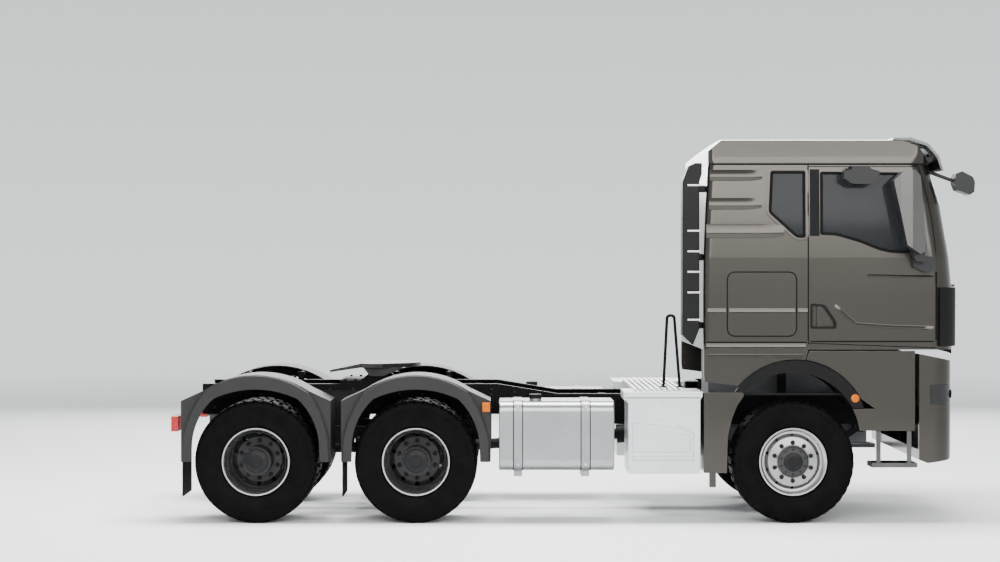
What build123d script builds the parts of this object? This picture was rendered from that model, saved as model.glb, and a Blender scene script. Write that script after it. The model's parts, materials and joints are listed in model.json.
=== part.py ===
"""Cab-over-engine tractor unit with three axles, twin-wheel driven bogie and a sleeper cab.

Units are millimetres. +X points forward, +Y to the vehicle's left and +Z up. The origin lies on
the ground below the centre of the overall box. Right-hand pieces (-Y) are drawn and mirrored.
"""

import math
import os

from build123d import *

os.makedirs("parts", exist_ok=True)

# Stations along the vehicle and heights above the ground
front_axle_x = 1911
wheelbase = 3300
bogie_spread = 1400
mid_axle_x = front_axle_x - wheelbase
rear_axle_x = mid_axle_x - bogie_spread
bogie_x = (mid_axle_x + rear_axle_x) / 2
wheel_radius = 538
axle_height = wheel_radius

# Clearances between pieces
running_gap = 0.3
panel_gap = 7
moving_gap = 6

# Ladder frame
rail_outer_y = 430
rail_flange = 80
rail_wall = 10
rail_height = 275
frame_top_rear = 1180
frame_drop = 90
frame_top_front = frame_top_rear - frame_drop
frame_rear_x = -3360
slope_rear_x = -671
slope_front_x = -124
frame_front_x = 3000
rail_inner_y = rail_outer_y - rail_flange
web_inner_y = rail_outer_y - rail_wall

# Cab body: outer skin, wall and the levels where its sections change
cab_wall = 55
cab_floor_z = 1577
cab_rear_x = 1130
cab_half_width = 1220
belt_z = 2325
roof_line_z = 3150
cab_top_z = 3401
cab_front_corner = 190
cab_rear_corner = 75
front_bow = 70
rear_door_seam_x = 2047
door_front_x = 3157

# Cab tilt pivot
tilt_x = 3073
tilt_z = 1080
tilt_pin_radius = 30
tilt_arm_y = 460
tilt_arm_width = 60

# Coupling plate
coupling_x = -1780
coupling_top_z = 1364
coupling_pitch_z = 1285
kingpin_hole_radius = 25.6

# Wheels
tyre_outer_y = 1235
front_tyre_width = 385
rear_tyre_width = 315
twin_spacing = 350
front_wheel_y = tyre_outer_y - front_tyre_width / 2
twin_wheel_y = tyre_outer_y - rear_tyre_width / 2 - twin_spacing / 2
rim_lip_radius = 296
steer_axis_y = 880

sides = {"right": -1, "left": 1}


def save(part, name):
    """Write one sub-part as parts/NAME.step."""
    part.label = name
    export_step(part, f"parts/{name}.step")


def side_prism(outline, y_inner, y_outer):
    """A right-hand plate: an outline in (X, Z) between two distances from the middle."""
    with BuildPart() as prism:
        with BuildSketch(Plane.XZ.offset(y_inner)):
            with BuildLine():
                Polyline(*outline, close=True)
            make_face()
        extrude(amount=y_outer - y_inner)
    return prism.part


def box_at(corner, far_corner):
    """A block given by two opposite corners."""
    size = [abs(b - a) for a, b in zip(corner, far_corner)]
    middle = [(a + b) / 2 for a, b in zip(corner, far_corner)]
    with BuildPart() as block:
        with Locations(tuple(middle)):
            Box(*size)
    return block.part


def wheel_plane(x, y, side):
    """Plane through a wheel's axis: local x runs outboard, local y is the radius."""
    return Plane(origin=(x, side * y, axle_height), x_dir=(0, side, 0), z_dir=(side, 0, 0))


def wheel_axis(x):
    return Axis((x, 0, axle_height), (0, 1, 0))


# Ladder frame: two channel rails that drop behind the cab, cross members and tilt brackets
rail_points = [
    (frame_rear_x, frame_top_rear),
    (slope_rear_x, frame_top_rear),
    (slope_front_x, frame_top_front),
    (frame_front_x, frame_top_front),
    (frame_front_x, frame_top_front - rail_height),
    (slope_front_x, frame_top_front - rail_height),
    (slope_rear_x, frame_top_rear - rail_height),
    (frame_rear_x, frame_top_rear - rail_height),
]
channel_points = [
    (x, z - rail_wall if z > frame_top_front - rail_height / 2 else z + rail_wall)
    for x, z in rail_points
]
cross_height = 150
cross_depth = 70
cross_members = (
    # (station, top of the rail there)
    (frame_rear_x + 45, frame_top_rear),
    (bogie_x, frame_top_rear),
    (-850, frame_top_rear),
    (300, frame_top_front),
    (frame_front_x - 60, frame_top_front),
)
tilt_bracket_x = 2850
tilt_bracket_wall = 40
with BuildPart() as chassis_frame:
    with BuildSketch(Plane.XZ.offset(rail_inner_y)):
        with BuildLine():
            Polyline(*rail_points, close=True)
        make_face()
    extrude(amount=rail_flange)
    with BuildSketch(Plane.XZ.offset(rail_inner_y)):
        with BuildLine():
            Polyline(*channel_points, close=True)
        make_face()
    extrude(amount=rail_flange - rail_wall, mode=Mode.SUBTRACT)
    with BuildSketch(Plane.XZ.offset(web_inner_y)):
        with BuildLine():
            Polyline(
                (tilt_bracket_x, frame_top_front - 200),
                (tilt_bracket_x, frame_top_front - 20),
                (tilt_x - 40, tilt_z + 45),
                (tilt_x + 40, tilt_z + 45),
                (tilt_x + 55, tilt_z),
                (tilt_x + 40, tilt_z - 45),
                (frame_front_x, frame_top_front - 200),
                close=True,
            )
        make_face()
    extrude(amount=tilt_bracket_wall)
    with Locations(Plane.XZ.offset(web_inner_y)):
        with Locations((tilt_x, tilt_z)):
            Cylinder(
                tilt_pin_radius,
                tilt_arm_y + tilt_arm_width + moving_gap - web_inner_y,
                align=(Align.CENTER, Align.CENTER, Align.MIN),
            )
    mirror(about=Plane.XZ)
    for station, top in cross_members:
        with Locations((station, 0, top - rail_wall - cross_height / 2 - 20)):
            Box(cross_depth, 2 * web_inner_y, cross_height)
save(chassis_frame.part, "chassis_frame")

# Driven axles: banjo housing, drums and the spindles that carry the twin wheels
axle_tube_radius = 72
drum_radius = 205
drum_inner_y = 592
drum_outer_y = 790
spindle_radius = 58
spindle_end_y = 1080
rear_hub_bore = spindle_radius + running_gap
bowl_radius = 215
bowl_half_width = 190
axle_outline = [
    (0, bowl_radius),
    (80, bowl_radius - 10),
    (bowl_half_width, 120),
    (bowl_half_width + 90, axle_tube_radius),
    (drum_inner_y, axle_tube_radius),
    (drum_inner_y, drum_radius - 12),
    (drum_inner_y + 20, drum_radius),
    (drum_outer_y, drum_radius),
    (drum_outer_y, spindle_radius),
    (spindle_end_y, spindle_radius),
    (spindle_end_y, 0),
    (0, 0),
]
with BuildPart() as rear_axles:
    for x in (mid_axle_x, rear_axle_x):
        with BuildSketch(wheel_plane(x, 0, 1)):
            with BuildLine():
                Polyline(*axle_outline, close=True)
            make_face()
        revolve(axis=wheel_axis(x))
    mirror(about=Plane.XZ)
save(rear_axles.part, "rear_axles")

# Steered axle: dropped beam with an eye at each end for the kingpin
beam_depth = 90
beam_top_z = 470
beam_height = 115
eye_radius = 52
eye_low = 468
eye_high = 608
kingpin_radius = 25
kingpin_bore = kingpin_radius + running_gap
with BuildPart() as front_axle:
    with BuildSketch(Plane.YZ.offset(front_axle_x - beam_depth / 2)):
        with BuildLine():
            Polyline(
                (0, beam_top_z - beam_height),
                (-560, beam_top_z - beam_height),
                (-740, eye_low + 5),
                (-steer_axis_y, eye_low + 5),
                (-steer_axis_y, eye_high - 25),
                (-760, eye_high - 45),
                (-520, beam_top_z),
                (0, beam_top_z),
                close=True,
            )
        make_face()
    extrude(amount=beam_depth)
    with Locations((front_axle_x, -steer_axis_y, (eye_low + eye_high) / 2)):
        Cylinder(eye_radius, eye_high - eye_low)
        Cylinder(kingpin_bore, 2 * (eye_high - eye_low), mode=Mode.SUBTRACT)
    mirror(about=Plane.XZ)
save(front_axle.part, "front_axle")

# Leaf springs: front packs sit on the beam, rear packs bridge the two driven axles
leaf_width = 80
front_spring_y = 350
front_spring_thickness = 48
rear_spring_y = 452
rear_spring_thickness = 90
front_spring_ends = (front_axle_x - 740, front_axle_x + 700)
front_hanger_z = frame_top_front - rail_height
rear_pad_z = axle_height + axle_tube_radius
spring_pad = 45
with BuildPart() as leaf_springs:
    with BuildSketch(Plane.XZ.offset(front_spring_y)):
        with BuildLine():
            low = ThreePointArc(
                (front_spring_ends[0], front_hanger_z - 60),
                (front_axle_x, beam_top_z + spring_pad),
                (front_spring_ends[1], front_hanger_z - 60),
            )
            Line(low @ 1, (front_spring_ends[1], front_hanger_z - 60 + front_spring_thickness))
            high = ThreePointArc(
                (front_spring_ends[1], front_hanger_z - 60 + front_spring_thickness),
                (front_axle_x, beam_top_z + spring_pad + front_spring_thickness + 20),
                (front_spring_ends[0], front_hanger_z - 60 + front_spring_thickness),
            )
            Line(high @ 1, low @ 0)
        make_face()
    extrude(amount=leaf_width)
    for x in front_spring_ends:
        with Locations((x, -front_spring_y - leaf_width / 2, front_hanger_z - 35)):
            Box(90, leaf_width, 70)
    with Locations((front_axle_x, -front_spring_y - leaf_width / 2, beam_top_z)):
        Box(150, leaf_width, spring_pad + 20, align=(Align.CENTER, Align.CENTER, Align.MIN))
    with BuildSketch(Plane.XZ.offset(rear_spring_y)):
        with BuildLine():
            top = ThreePointArc(
                (rear_axle_x - 90, rear_pad_z + spring_pad + 40),
                (bogie_x, rear_pad_z + spring_pad + 150),
                (mid_axle_x + 90, rear_pad_z + spring_pad + 40),
            )
            Line(top @ 1, (mid_axle_x + 90, rear_pad_z + spring_pad))
            Line((mid_axle_x + 90, rear_pad_z + spring_pad), (mid_axle_x - 90, rear_pad_z + spring_pad))
            under = ThreePointArc(
                (mid_axle_x - 90, rear_pad_z + spring_pad),
                (bogie_x, rear_pad_z + spring_pad + 150 - rear_spring_thickness),
                (rear_axle_x + 90, rear_pad_z + spring_pad),
            )
            Line(under @ 1, (rear_axle_x - 90, rear_pad_z + spring_pad))
            Line((rear_axle_x - 90, rear_pad_z + spring_pad), top @ 0)
        make_face()
    extrude(amount=leaf_width)
    for x in (mid_axle_x, rear_axle_x):
        with Locations((x, -rear_spring_y - leaf_width / 2, rear_pad_z)):
            Box(140, leaf_width, spring_pad + 10, align=(Align.CENTER, Align.CENTER, Align.MIN))
    trunnion_top = frame_top_rear - 60
    with BuildSketch(Plane.XZ.offset(rail_outer_y)):
        with BuildLine():
            Polyline(
                (bogie_x - 190, trunnion_top),
                (bogie_x + 190, trunnion_top),
                (bogie_x + 110, 640),
                (bogie_x - 110, 640),
                close=True,
            )
        make_face()
    extrude(amount=rear_spring_y - rail_outer_y)
    mirror(about=Plane.XZ)
    with Locations(Plane.XZ):
        with Locations((bogie_x, 690)):
            Cylinder(52, 2 * (rear_spring_y + leaf_width))
save(leaf_springs.part, "leaf_springs")

# Engine and gearbox as one plain block between the rails
engine_half_width = 330
engine_low = 640
engine_high = 1470
engine_rear_x = 1250
engine_front_x = 2700
gearbox_half_width = 210
gearbox_rear_x = 520
gearbox_high = 1000
shaft_height = 700
with BuildPart() as engine_block:
    add(box_at((engine_rear_x, -engine_half_width, engine_low),
               (engine_front_x, engine_half_width, engine_high)))
    add(box_at((gearbox_rear_x, -gearbox_half_width, engine_low - 60),
               (engine_rear_x, gearbox_half_width, gearbox_high)))
    with Locations((engine_front_x - 250, 0, front_hanger_z + 60)):
        Box(120, 2 * rail_inner_y + 2 * (rail_flange - rail_wall), 90)
save(engine_block.part, "engine_block")

# Drive line: gearbox to the middle axle, then on to the last one
shaft_radius = 48
yoke_radius = 85
shaft_runs = (
    # (start x, start z, end x, end z)
    (gearbox_rear_x, shaft_height, mid_axle_x + bowl_radius, axle_height + 30),
    (mid_axle_x - bowl_radius, axle_height + 30, rear_axle_x + bowl_radius, axle_height + 30),
)
with BuildPart() as drive_shafts:
    for x1, z1, x2, z2 in shaft_runs:
        along = Plane(origin=(x1, 0, z1), x_dir=(0, 1, 0), z_dir=(x2 - x1, 0, z2 - z1))
        run = math.hypot(x2 - x1, z2 - z1)
        with BuildSketch(along):
            Circle(yoke_radius)
        extrude(amount=run)
        with BuildSketch(along.offset(90)):
            Circle(yoke_radius + 5)
            Circle(shaft_radius, mode=Mode.SUBTRACT)
        extrude(amount=run - 180, mode=Mode.SUBTRACT)
    add(rear_axles.part, mode=Mode.SUBTRACT)
    add(engine_block.part, mode=Mode.SUBTRACT)
save(drive_shafts.part, "drive_shafts")

# Wheels. Outlines are (distance from the vehicle's middle, radius) and are turned about the axle
seat_radius = 284
bead_radius = seat_radius + running_gap
bead_step = 0.4
rim_flange = 14
flange_stand = 1


def tyre_outline(middle, width):
    """Half section of one tyre: bead, bulged side wall, shoulder and tread."""
    bead = bead_step * width
    side = [
        (bead, bead_radius),
        (bead, rim_lip_radius + 4),
        (width / 2, 400),
        (width / 2 - 6, 500),
        (width / 2 - 26, wheel_radius - 6),
    ]
    crown = (width / 2 - 60, wheel_radius)
    half = side + [crown]
    return [(middle + u, r) for u, r in half] + [(middle - u, r) for u, r in reversed(half)]


front_rim_bead = bead_step * front_tyre_width + flange_stand
rear_rim_bead = bead_step * rear_tyre_width + flange_stand
inner_twin_y = twin_wheel_y - twin_spacing / 2
outer_twin_y = twin_wheel_y + twin_spacing / 2
hub_radius = 127
hub_cap_radius = 88
nut_face_radius = 200


def rim_band(middle, bead):
    """Outer edge of one rim, from its inboard flange to its outboard flange."""
    return [
        (middle - bead - rim_flange, rim_lip_radius),
        (middle - bead, rim_lip_radius),
        (middle - bead, seat_radius),
        (middle + bead, seat_radius),
        (middle + bead, rim_lip_radius),
        (middle + bead + rim_flange, rim_lip_radius),
    ]


disc_half = 12
well_radius = 262
twin_rim_outline = (
    rim_band(inner_twin_y, rear_rim_bead)
    + [(twin_wheel_y - disc_half, 235), (twin_wheel_y + disc_half, 235)]
    + rim_band(outer_twin_y, rear_rim_bead)
    + [
        (outer_twin_y + rear_rim_bead + rim_flange, seat_radius),
        (outer_twin_y + rear_rim_bead - 8, 271),
        (outer_twin_y + rear_rim_bead - 45, 254),
        (outer_twin_y - rear_rim_bead, 250),
        (twin_wheel_y + disc_half + 8, 215),
        (twin_wheel_y + disc_half, nut_face_radius),
        (twin_wheel_y + disc_half, hub_radius),
        (tyre_outer_y - 75, hub_radius),
        (tyre_outer_y - 58, hub_cap_radius + 18),
        (tyre_outer_y - 45, hub_cap_radius + 12),
        (tyre_outer_y - 45, 0),
        (spindle_end_y + 10, 0),
        (spindle_end_y + 10, rear_hub_bore),
        (drum_outer_y + 25, rear_hub_bore),
        (drum_outer_y + 25, hub_radius),
        (twin_wheel_y - disc_half, hub_radius + 20),
        (twin_wheel_y - disc_half, 200),
        (inner_twin_y + rear_rim_bead, 246),
        (inner_twin_y - rear_rim_bead, well_radius),
        (inner_twin_y - rear_rim_bead - rim_flange, seat_radius),
    ]
)
steer_spindle_end_y = 1130
steer_hub_bore = spindle_radius + running_gap
steer_drum_y = (955, 1075)
steer_disc_y = 1170
front_rim_outline = rim_band(front_wheel_y, front_rim_bead) + [
    (front_wheel_y + front_rim_bead + rim_flange, seat_radius),
    (front_wheel_y + front_rim_bead, 268),
    (steer_disc_y - 22, 262),
    (steer_disc_y - 26, 242),
    (steer_disc_y + 4, 216),
    (steer_disc_y + 18, 150),
    (steer_disc_y + 26, 136),
    (steer_disc_y + 36, 136),
    (steer_disc_y + 44, 122),
    (steer_disc_y + 44, 96),
    (tyre_outer_y - 15, 60),
    (tyre_outer_y - 12, 0),
    (steer_spindle_end_y + 10, 0),
    (steer_spindle_end_y + 10, steer_hub_bore),
    (steer_drum_y[1] + 15, steer_hub_bore),
    (steer_drum_y[1] + 15, 130),
    (steer_disc_y - 10, 136),
    (steer_disc_y - 12, 214),
    (steer_disc_y - 44, 240),
    (steer_disc_y - 60, 256),
    (front_wheel_y - front_rim_bead, 268),
    (front_wheel_y - front_rim_bead - rim_flange, seat_radius),
]
wheel_kinds = (
    # (name, station, rim outline, tyres as (middle, width), hand holes as (circle, radius, from, to))
    ("front", front_axle_x, front_rim_outline, ((front_wheel_y, front_tyre_width),),
     (232, 13, steer_disc_y - 70, steer_disc_y + 20)),
    ("mid", mid_axle_x, twin_rim_outline,
     ((inner_twin_y, rear_tyre_width), (outer_twin_y, rear_tyre_width)),
     (219, 22, twin_wheel_y - 60, twin_wheel_y + 60)),
    ("rear", rear_axle_x, twin_rim_outline,
     ((inner_twin_y, rear_tyre_width), (outer_twin_y, rear_tyre_width)),
     (219, 22, twin_wheel_y - 60, twin_wheel_y + 60)),
)
hand_holes = 10
for kind, x, rim_outline, tyres, (hole_circle, hole_radius, hole_from, hole_to) in wheel_kinds:
    for side_name, side in sides.items():
        with BuildPart() as tyre:
            for middle, width in tyres:
                with BuildSketch(wheel_plane(x, 0, side)):
                    with BuildLine():
                        Polyline(*tyre_outline(middle, width), close=True)
                    make_face()
                revolve(axis=wheel_axis(x))
        save(tyre.part, f"tyre_{kind}_{side_name}")
        with BuildPart() as rim:
            with BuildSketch(wheel_plane(x, 0, side)):
                with BuildLine():
                    Polyline(*rim_outline, close=True)
                make_face()
            revolve(axis=wheel_axis(x))
            with BuildSketch(Plane((x, side * hole_from, axle_height), x_dir=(1, 0, 0), z_dir=(0, side, 0))):
                with PolarLocations(hole_circle, hand_holes, start_angle=18):
                    Circle(hole_radius)
            extrude(amount=hole_to - hole_from, mode=Mode.SUBTRACT)
        save(rim.part, f"rim_{kind}_{side_name}")

# Steering knuckles: lugs round the axle eye, kingpin, drum and spindle
lug_gap = 6
lug_height = 34
knuckle_flange_radius = 130
plate_y = (steer_axis_y + eye_radius + 14, steer_drum_y[0])
for side_name, side in sides.items():
    with BuildPart() as knuckle:
        for low in (eye_low - lug_gap - lug_height, eye_high + lug_gap):
            with BuildSketch(Plane.XY.offset(low)):
                with Locations((front_axle_x, side * steer_axis_y)):
                    Circle(eye_radius)
                with Locations((front_axle_x, side * (steer_axis_y + plate_y[1]) / 2)):
                    Rectangle(2 * eye_radius, plate_y[1] - steer_axis_y)
            extrude(amount=lug_height)
        with Locations((front_axle_x, side * steer_axis_y, (eye_low + eye_high) / 2)):
            Cylinder(kingpin_radius, eye_high - eye_low + 2 * (lug_gap + lug_height))
        flange_plane = Plane(
            (front_axle_x, side * plate_y[0], axle_height), x_dir=(1, 0, 0), z_dir=(0, side, 0)
        )
        with BuildSketch(flange_plane):
            Circle(knuckle_flange_radius)
        extrude(amount=plate_y[1] - plate_y[0])
        with BuildSketch(wheel_plane(front_axle_x, 0, side)):
            with BuildLine():
                Polyline(
                    (steer_drum_y[0], 0),
                    (steer_drum_y[0], drum_radius - 25),
                    (steer_drum_y[0] + 12, drum_radius - 5),
                    (steer_drum_y[1], drum_radius - 5),
                    (steer_drum_y[1], spindle_radius),
                    (steer_spindle_end_y, spindle_radius),
                    (steer_spindle_end_y, 0),
                    close=True,
                )
            make_face()
        revolve(axis=wheel_axis(front_axle_x))
    save(knuckle.part, f"knuckle_{side_name}")

# Fuel tanks on both sides, each on two brackets from the rail and held by two straps
tank_rear_x = -662
tank_front_x = 346
tank_low = 462
tank_high = 1072
tank_inner_y = 650
tank_outer_y = 1250
tank_corner = 95
tank_end_radius = 14
tank_cap = (320, 170, 52, 48)
strap_stations = (-495, 95)
strap_width = 72
strap_thickness = 6


def tank_shape(grow, x1, x2):
    """Rounded tank section, grown outwards, between two stations."""
    with BuildPart() as shape:
        with BuildSketch(Plane.YZ.offset(x1)):
            with Locations((-(tank_inner_y + tank_outer_y) / 2, (tank_low + tank_high) / 2)):
                RectangleRounded(
                    tank_outer_y - tank_inner_y + 2 * grow,
                    tank_high - tank_low + 2 * grow,
                    tank_corner + grow,
                )
        extrude(amount=x2 - x1)
    return shape.part


with BuildPart() as fuel_tanks:
    add(tank_shape(0, tank_rear_x, tank_front_x))
    fillet(fuel_tanks.edges().group_by(Axis.X)[0] + fuel_tanks.edges().group_by(Axis.X)[-1], tank_end_radius)
    cap_from_rear, cap_from_side, cap_radius, cap_height = tank_cap
    with Locations((tank_rear_x + cap_from_rear, -tank_outer_y + cap_from_side, tank_high)):
        Cylinder(cap_radius, cap_height, align=(Align.CENTER, Align.CENTER, Align.MIN))
    mirror(about=Plane.XZ)
save(fuel_tanks.part, "fuel_tanks")

with BuildPart() as tank_straps:
    for x in strap_stations:
        add(tank_shape(strap_thickness, x - strap_width / 2, x + strap_width / 2))
        add(box_at((x - strap_width / 2, -tank_inner_y + strap_thickness, tank_low + 120),
                   (x + strap_width / 2, -rail_outer_y, front_hanger_z + 200)))
        add(box_at((x - strap_width / 2, -tank_outer_y + tank_corner, tank_low - 55),
                   (x + strap_width / 2, -tank_inner_y - tank_corner / 2, tank_low - strap_thickness + 1)))
    add(tank_shape(0, tank_rear_x, tank_front_x), mode=Mode.SUBTRACT)
    mirror(about=Plane.XZ)
save(tank_straps.part, "tank_straps")

# Side boxes: pressed-lid service box on the right, battery box on the left, air tanks between them
box_rear_x = 433
box_front_x = 1109
box_low = 436
box_high = 1151
box_outer_y = 1235
box_inner_y = 640
lid_recess = 14
box_arm_inset = 120
box_arm_drop = 200
side_box_outline = [
    (box_rear_x, box_high),
    (box_front_x + 8, box_high),
    (box_front_x + 8, box_high - 40),
    (box_front_x - 12, box_high - 75),
    (box_front_x - 12, box_low),
    (box_rear_x + 35, box_low),
    (box_rear_x + 35, box_high - 75),
    (box_rear_x, box_high - 75),
]
recess_outline = [
    (box_rear_x + 70, box_high - 270),
    (box_front_x - 110, box_high - 310),
    (box_front_x - 70, box_high - 350),
    (box_front_x - 70, box_low + 115),
    (box_rear_x + 70, box_low + 115),
]
with BuildPart() as side_boxes:
    add(side_prism(side_box_outline, box_inner_y, box_outer_y))
    add(side_prism(recess_outline, box_outer_y - lid_recess, box_outer_y + 10), mode=Mode.SUBTRACT)
    add(box_at((box_rear_x + box_arm_inset, -box_inner_y, box_low + box_arm_drop),
               (box_front_x - box_arm_inset, -rail_outer_y, box_high - box_arm_drop)))
    mirror(about=Plane.XZ)
save(side_boxes.part, "side_boxes")

# Walkway of cross slats behind the cab, on two bearers above the rails
deck_rear_x = 524
deck_front_x = 952
deck_right_y = -1195
deck_left_y = 800
slat_count = 9
slat_width = 24
slat_height = 26
deck_pitch = (deck_front_x - deck_rear_x - slat_width) / (slat_count - 1)
with BuildPart() as deck_grating:
    for i in range(slat_count):
        x = deck_rear_x + i * deck_pitch
        add(box_at((x, deck_right_y, box_high), (x + slat_width, deck_left_y, box_high + slat_height)))
    for y in (-rail_outer_y + 25, rail_outer_y - 65):
        add(box_at((deck_rear_x, y, frame_top_front), (deck_front_x, y + 40, box_high)))
save(deck_grating.part, "deck_grating")

# Grab rail loop standing on the walkway's right edge
grab_radius = 13
grab_y = 900
grab_foot = box_high + slat_height + running_gap
grab_top = 1812
grab_start = grab_foot + 4
grab_points = [(800, grab_start), (832, grab_top), (894, grab_top), (944, grab_start)]
with BuildPart() as grab_handle:
    with BuildLine(Plane.XZ.offset(grab_y)):
        FilletPolyline(*grab_points, radius=26)
    with BuildSketch(
        Plane((grab_points[0][0], -grab_y, grab_start), z_dir=(32, 0, grab_top - grab_start))
    ):
        Circle(grab_radius)
    sweep()
    add(box_at((grab_points[0][0] - 30, -grab_y - 40, grab_foot),
               (grab_points[0][0] + 30, -grab_y + 40, grab_foot + 8)))
    add(box_at((grab_points[3][0] - 30, -grab_y - 40, grab_foot),
               (grab_points[3][0] + 30, -grab_y + 40, grab_foot + 8)))
save(grab_handle.part, "grab_handle")

# Rear fenders: one arched shell over each twin wheel, open inboard, with a deep outer lip
fender_half = 654
fender_shoulder = (462, 1160)
fender_top = 1300
fender_corner_z = 1072
fender_low = 541
fender_skin = 8
fender_inner_y = 660
fender_outer_y = 1265
fender_body_y = 1222
fender_lip_bevel = 12
# Lip contours about the axle: half width at the foot, top of the leg, haunch, shoulder, crown
lip_outer = (648, (641, 716), (574, 950), (453, 1155), 1300)
lip_inner = (563, (556, 716), (488, 938), (371, 1090), 1174)


def body_face(inset, drop):
    """Square-shouldered outline of a fender's wide part, inset all round and extended down."""
    half = fender_half - inset
    shoulder = (fender_shoulder[0], fender_shoulder[1] - inset)
    low = fender_low - drop
    with BuildSketch(Plane.XZ) as face:
        with BuildLine():
            ThreePointArc((-shoulder[0], shoulder[1]), (0, fender_top - inset), shoulder)
            Polyline(
                shoulder, (half, fender_corner_z - inset), (half, low), (-half, low),
                (-half, fender_corner_z - inset), (-shoulder[0], shoulder[1]),
            )
        make_face()
    return face.sketch


def lip_face(contour, low):
    """Round-shouldered outline of the lip: curved haunches between straight legs and crown."""
    foot, leg, haunch, shoulder, crown = contour
    with BuildSketch(Plane.XZ) as face:
        with BuildLine():
            ThreePointArc((-shoulder[0], shoulder[1]), (0, crown), shoulder)
            for side in (-1, 1):
                ThreePointArc((side * shoulder[0], shoulder[1]), (side * haunch[0], haunch[1]),
                              (side * leg[0], leg[1]))
                Line((side * leg[0], leg[1]), (side * foot, low))
            Line((-foot, low), (foot, low))
        make_face()
    return face.sketch


def fender_body(inset, drop):
    """The wide part as a block, from its open inboard side to the lip."""
    with BuildPart() as block:
        with BuildSketch(Plane.XZ.offset(fender_inner_y - drop)):
            add(body_face(inset, drop))
        extrude(amount=fender_body_y - inset - fender_inner_y + drop)
    return block.part


with BuildPart() as fender_lip:
    with BuildSketch(Plane.XZ.offset(fender_body_y - fender_skin)):
        add(lip_face(lip_outer, fender_low))
    extrude(amount=fender_outer_y - fender_body_y + fender_skin)
    lip_rim = fender_lip.faces().sort_by(Axis.Y)[0].edges().sort_by(Axis.Z)[1:]
    chamfer(lip_rim, length=fender_lip_bevel)
with BuildPart() as fender_shell:
    add(fender_body(0, 0))
    add(fender_body(fender_skin, 10), mode=Mode.SUBTRACT)
    add(fender_lip.part)
    with BuildSketch(Plane.XZ.offset(fender_body_y - 60)):
        add(lip_face(lip_inner, fender_low - 10))
    extrude(amount=120, mode=Mode.SUBTRACT)
with BuildPart() as rear_fenders:
    for x in (mid_axle_x, rear_axle_x):
        add(Pos(x, 0, 0) * fender_shell.part)
    mirror(about=Plane.XZ)
save(rear_fenders.part, "rear_fenders")

# Stays that carry the rear fenders: a post on the rail and a bar under the crown
stay_offset = 250
stay_radius = 18
stay_end_y = 1150
crown_radius = (fender_shoulder[0] ** 2 + (fender_top - fender_shoulder[1]) ** 2) / (
    2 * (fender_top - fender_shoulder[1])
)
stay_z = fender_top - crown_radius + math.sqrt(
    (crown_radius - fender_skin - running_gap - stay_radius) ** 2 - stay_offset**2
)
with BuildPart() as fender_stays:
    for x in (mid_axle_x, rear_axle_x):
        for step in (-stay_offset, stay_offset):
            with Locations(Plane.XZ.offset(rail_outer_y)):
                with Locations((x + step, stay_z)):
                    Cylinder(
                        stay_radius,
                        stay_end_y - rail_outer_y,
                        align=(Align.CENTER, Align.CENTER, Align.MIN),
                    )
            add(box_at((x + step - 30, -rail_outer_y - 14, frame_top_rear - 130),
                       (x + step + 30, -rail_outer_y, stay_z + stay_radius)))
    mirror(about=Plane.XZ)
save(fender_stays.part, "fender_stays")

# Rubber mudflaps inside the rear end of each fender
flap_low = 235
flap_high = 640
flap_thickness = 12
flap_inner_y = 680
flap_outer_y = 1200
with BuildPart() as mudflaps:
    for x in (mid_axle_x, rear_axle_x):
        back = x - fender_half + fender_skin + running_gap
        add(box_at((back, -flap_outer_y, flap_low), (back + flap_thickness, -flap_inner_y, flap_high)))
    mirror(about=Plane.XZ)
save(mudflaps.part, "mudflaps")

# Tail lamps on brackets behind the last fenders
lamp_rear_x = -3538
lamp_front_x = -3475
lamp_low = 802
lamp_high = 933
lamp_inner_y = 700
lamp_outer_y = 1180
with BuildPart() as tail_lamps:
    add(box_at((lamp_rear_x, -lamp_outer_y, lamp_low), (lamp_front_x, -lamp_inner_y, lamp_high)))
    fillet(tail_lamps.edges().filter_by(Axis.Z).group_by(Axis.X)[0], 20)
    add(box_at((lamp_front_x, -lamp_outer_y + 60, lamp_low + 20),
               (rear_axle_x - fender_half, -lamp_inner_y - 60, lamp_high - 20)))
    mirror(about=Plane.XZ)
save(tail_lamps.part, "tail_lamps")

# Front wheel arch: trim ring, liner above the tyre and the bracket that carries it
arch_inner = (1908, 732, 589)
arch_outer = (1927, 786, 641)
arch_rear_z = 1150
arch_front_z = 1012
trim_inner_y = 1185
trim_outer_y = 1245
liner_skin = 10
liner_inner_y = 640
arch_reach = 800
arch_post_half = 40
arch_bar_half = 446
arch_bar_y = (1140, 1170)
arch_bar_z = (1120, 1138)


def disc_prism(centre_x, centre_z, radius, y_inner, y_outer):
    """A right-hand round plate between two distances from the middle."""
    with BuildPart() as disc:
        with BuildSketch(Plane.XZ.offset(y_inner)):
            with Locations((centre_x, centre_z)):
                Circle(radius)
        extrude(amount=y_outer - y_inner)
    return disc.part


def below_arch(y_inner, y_outer):
    """Space under the arch's ends: rear of the wheel up to one level, ahead of it to another."""
    return box_at(
        (inner_x - arch_reach, -y_outer, 0), (inner_x, -y_inner, arch_rear_z)
    ) + box_at((inner_x, -y_outer, 0), (inner_x + arch_reach, -y_inner, arch_front_z))


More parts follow.
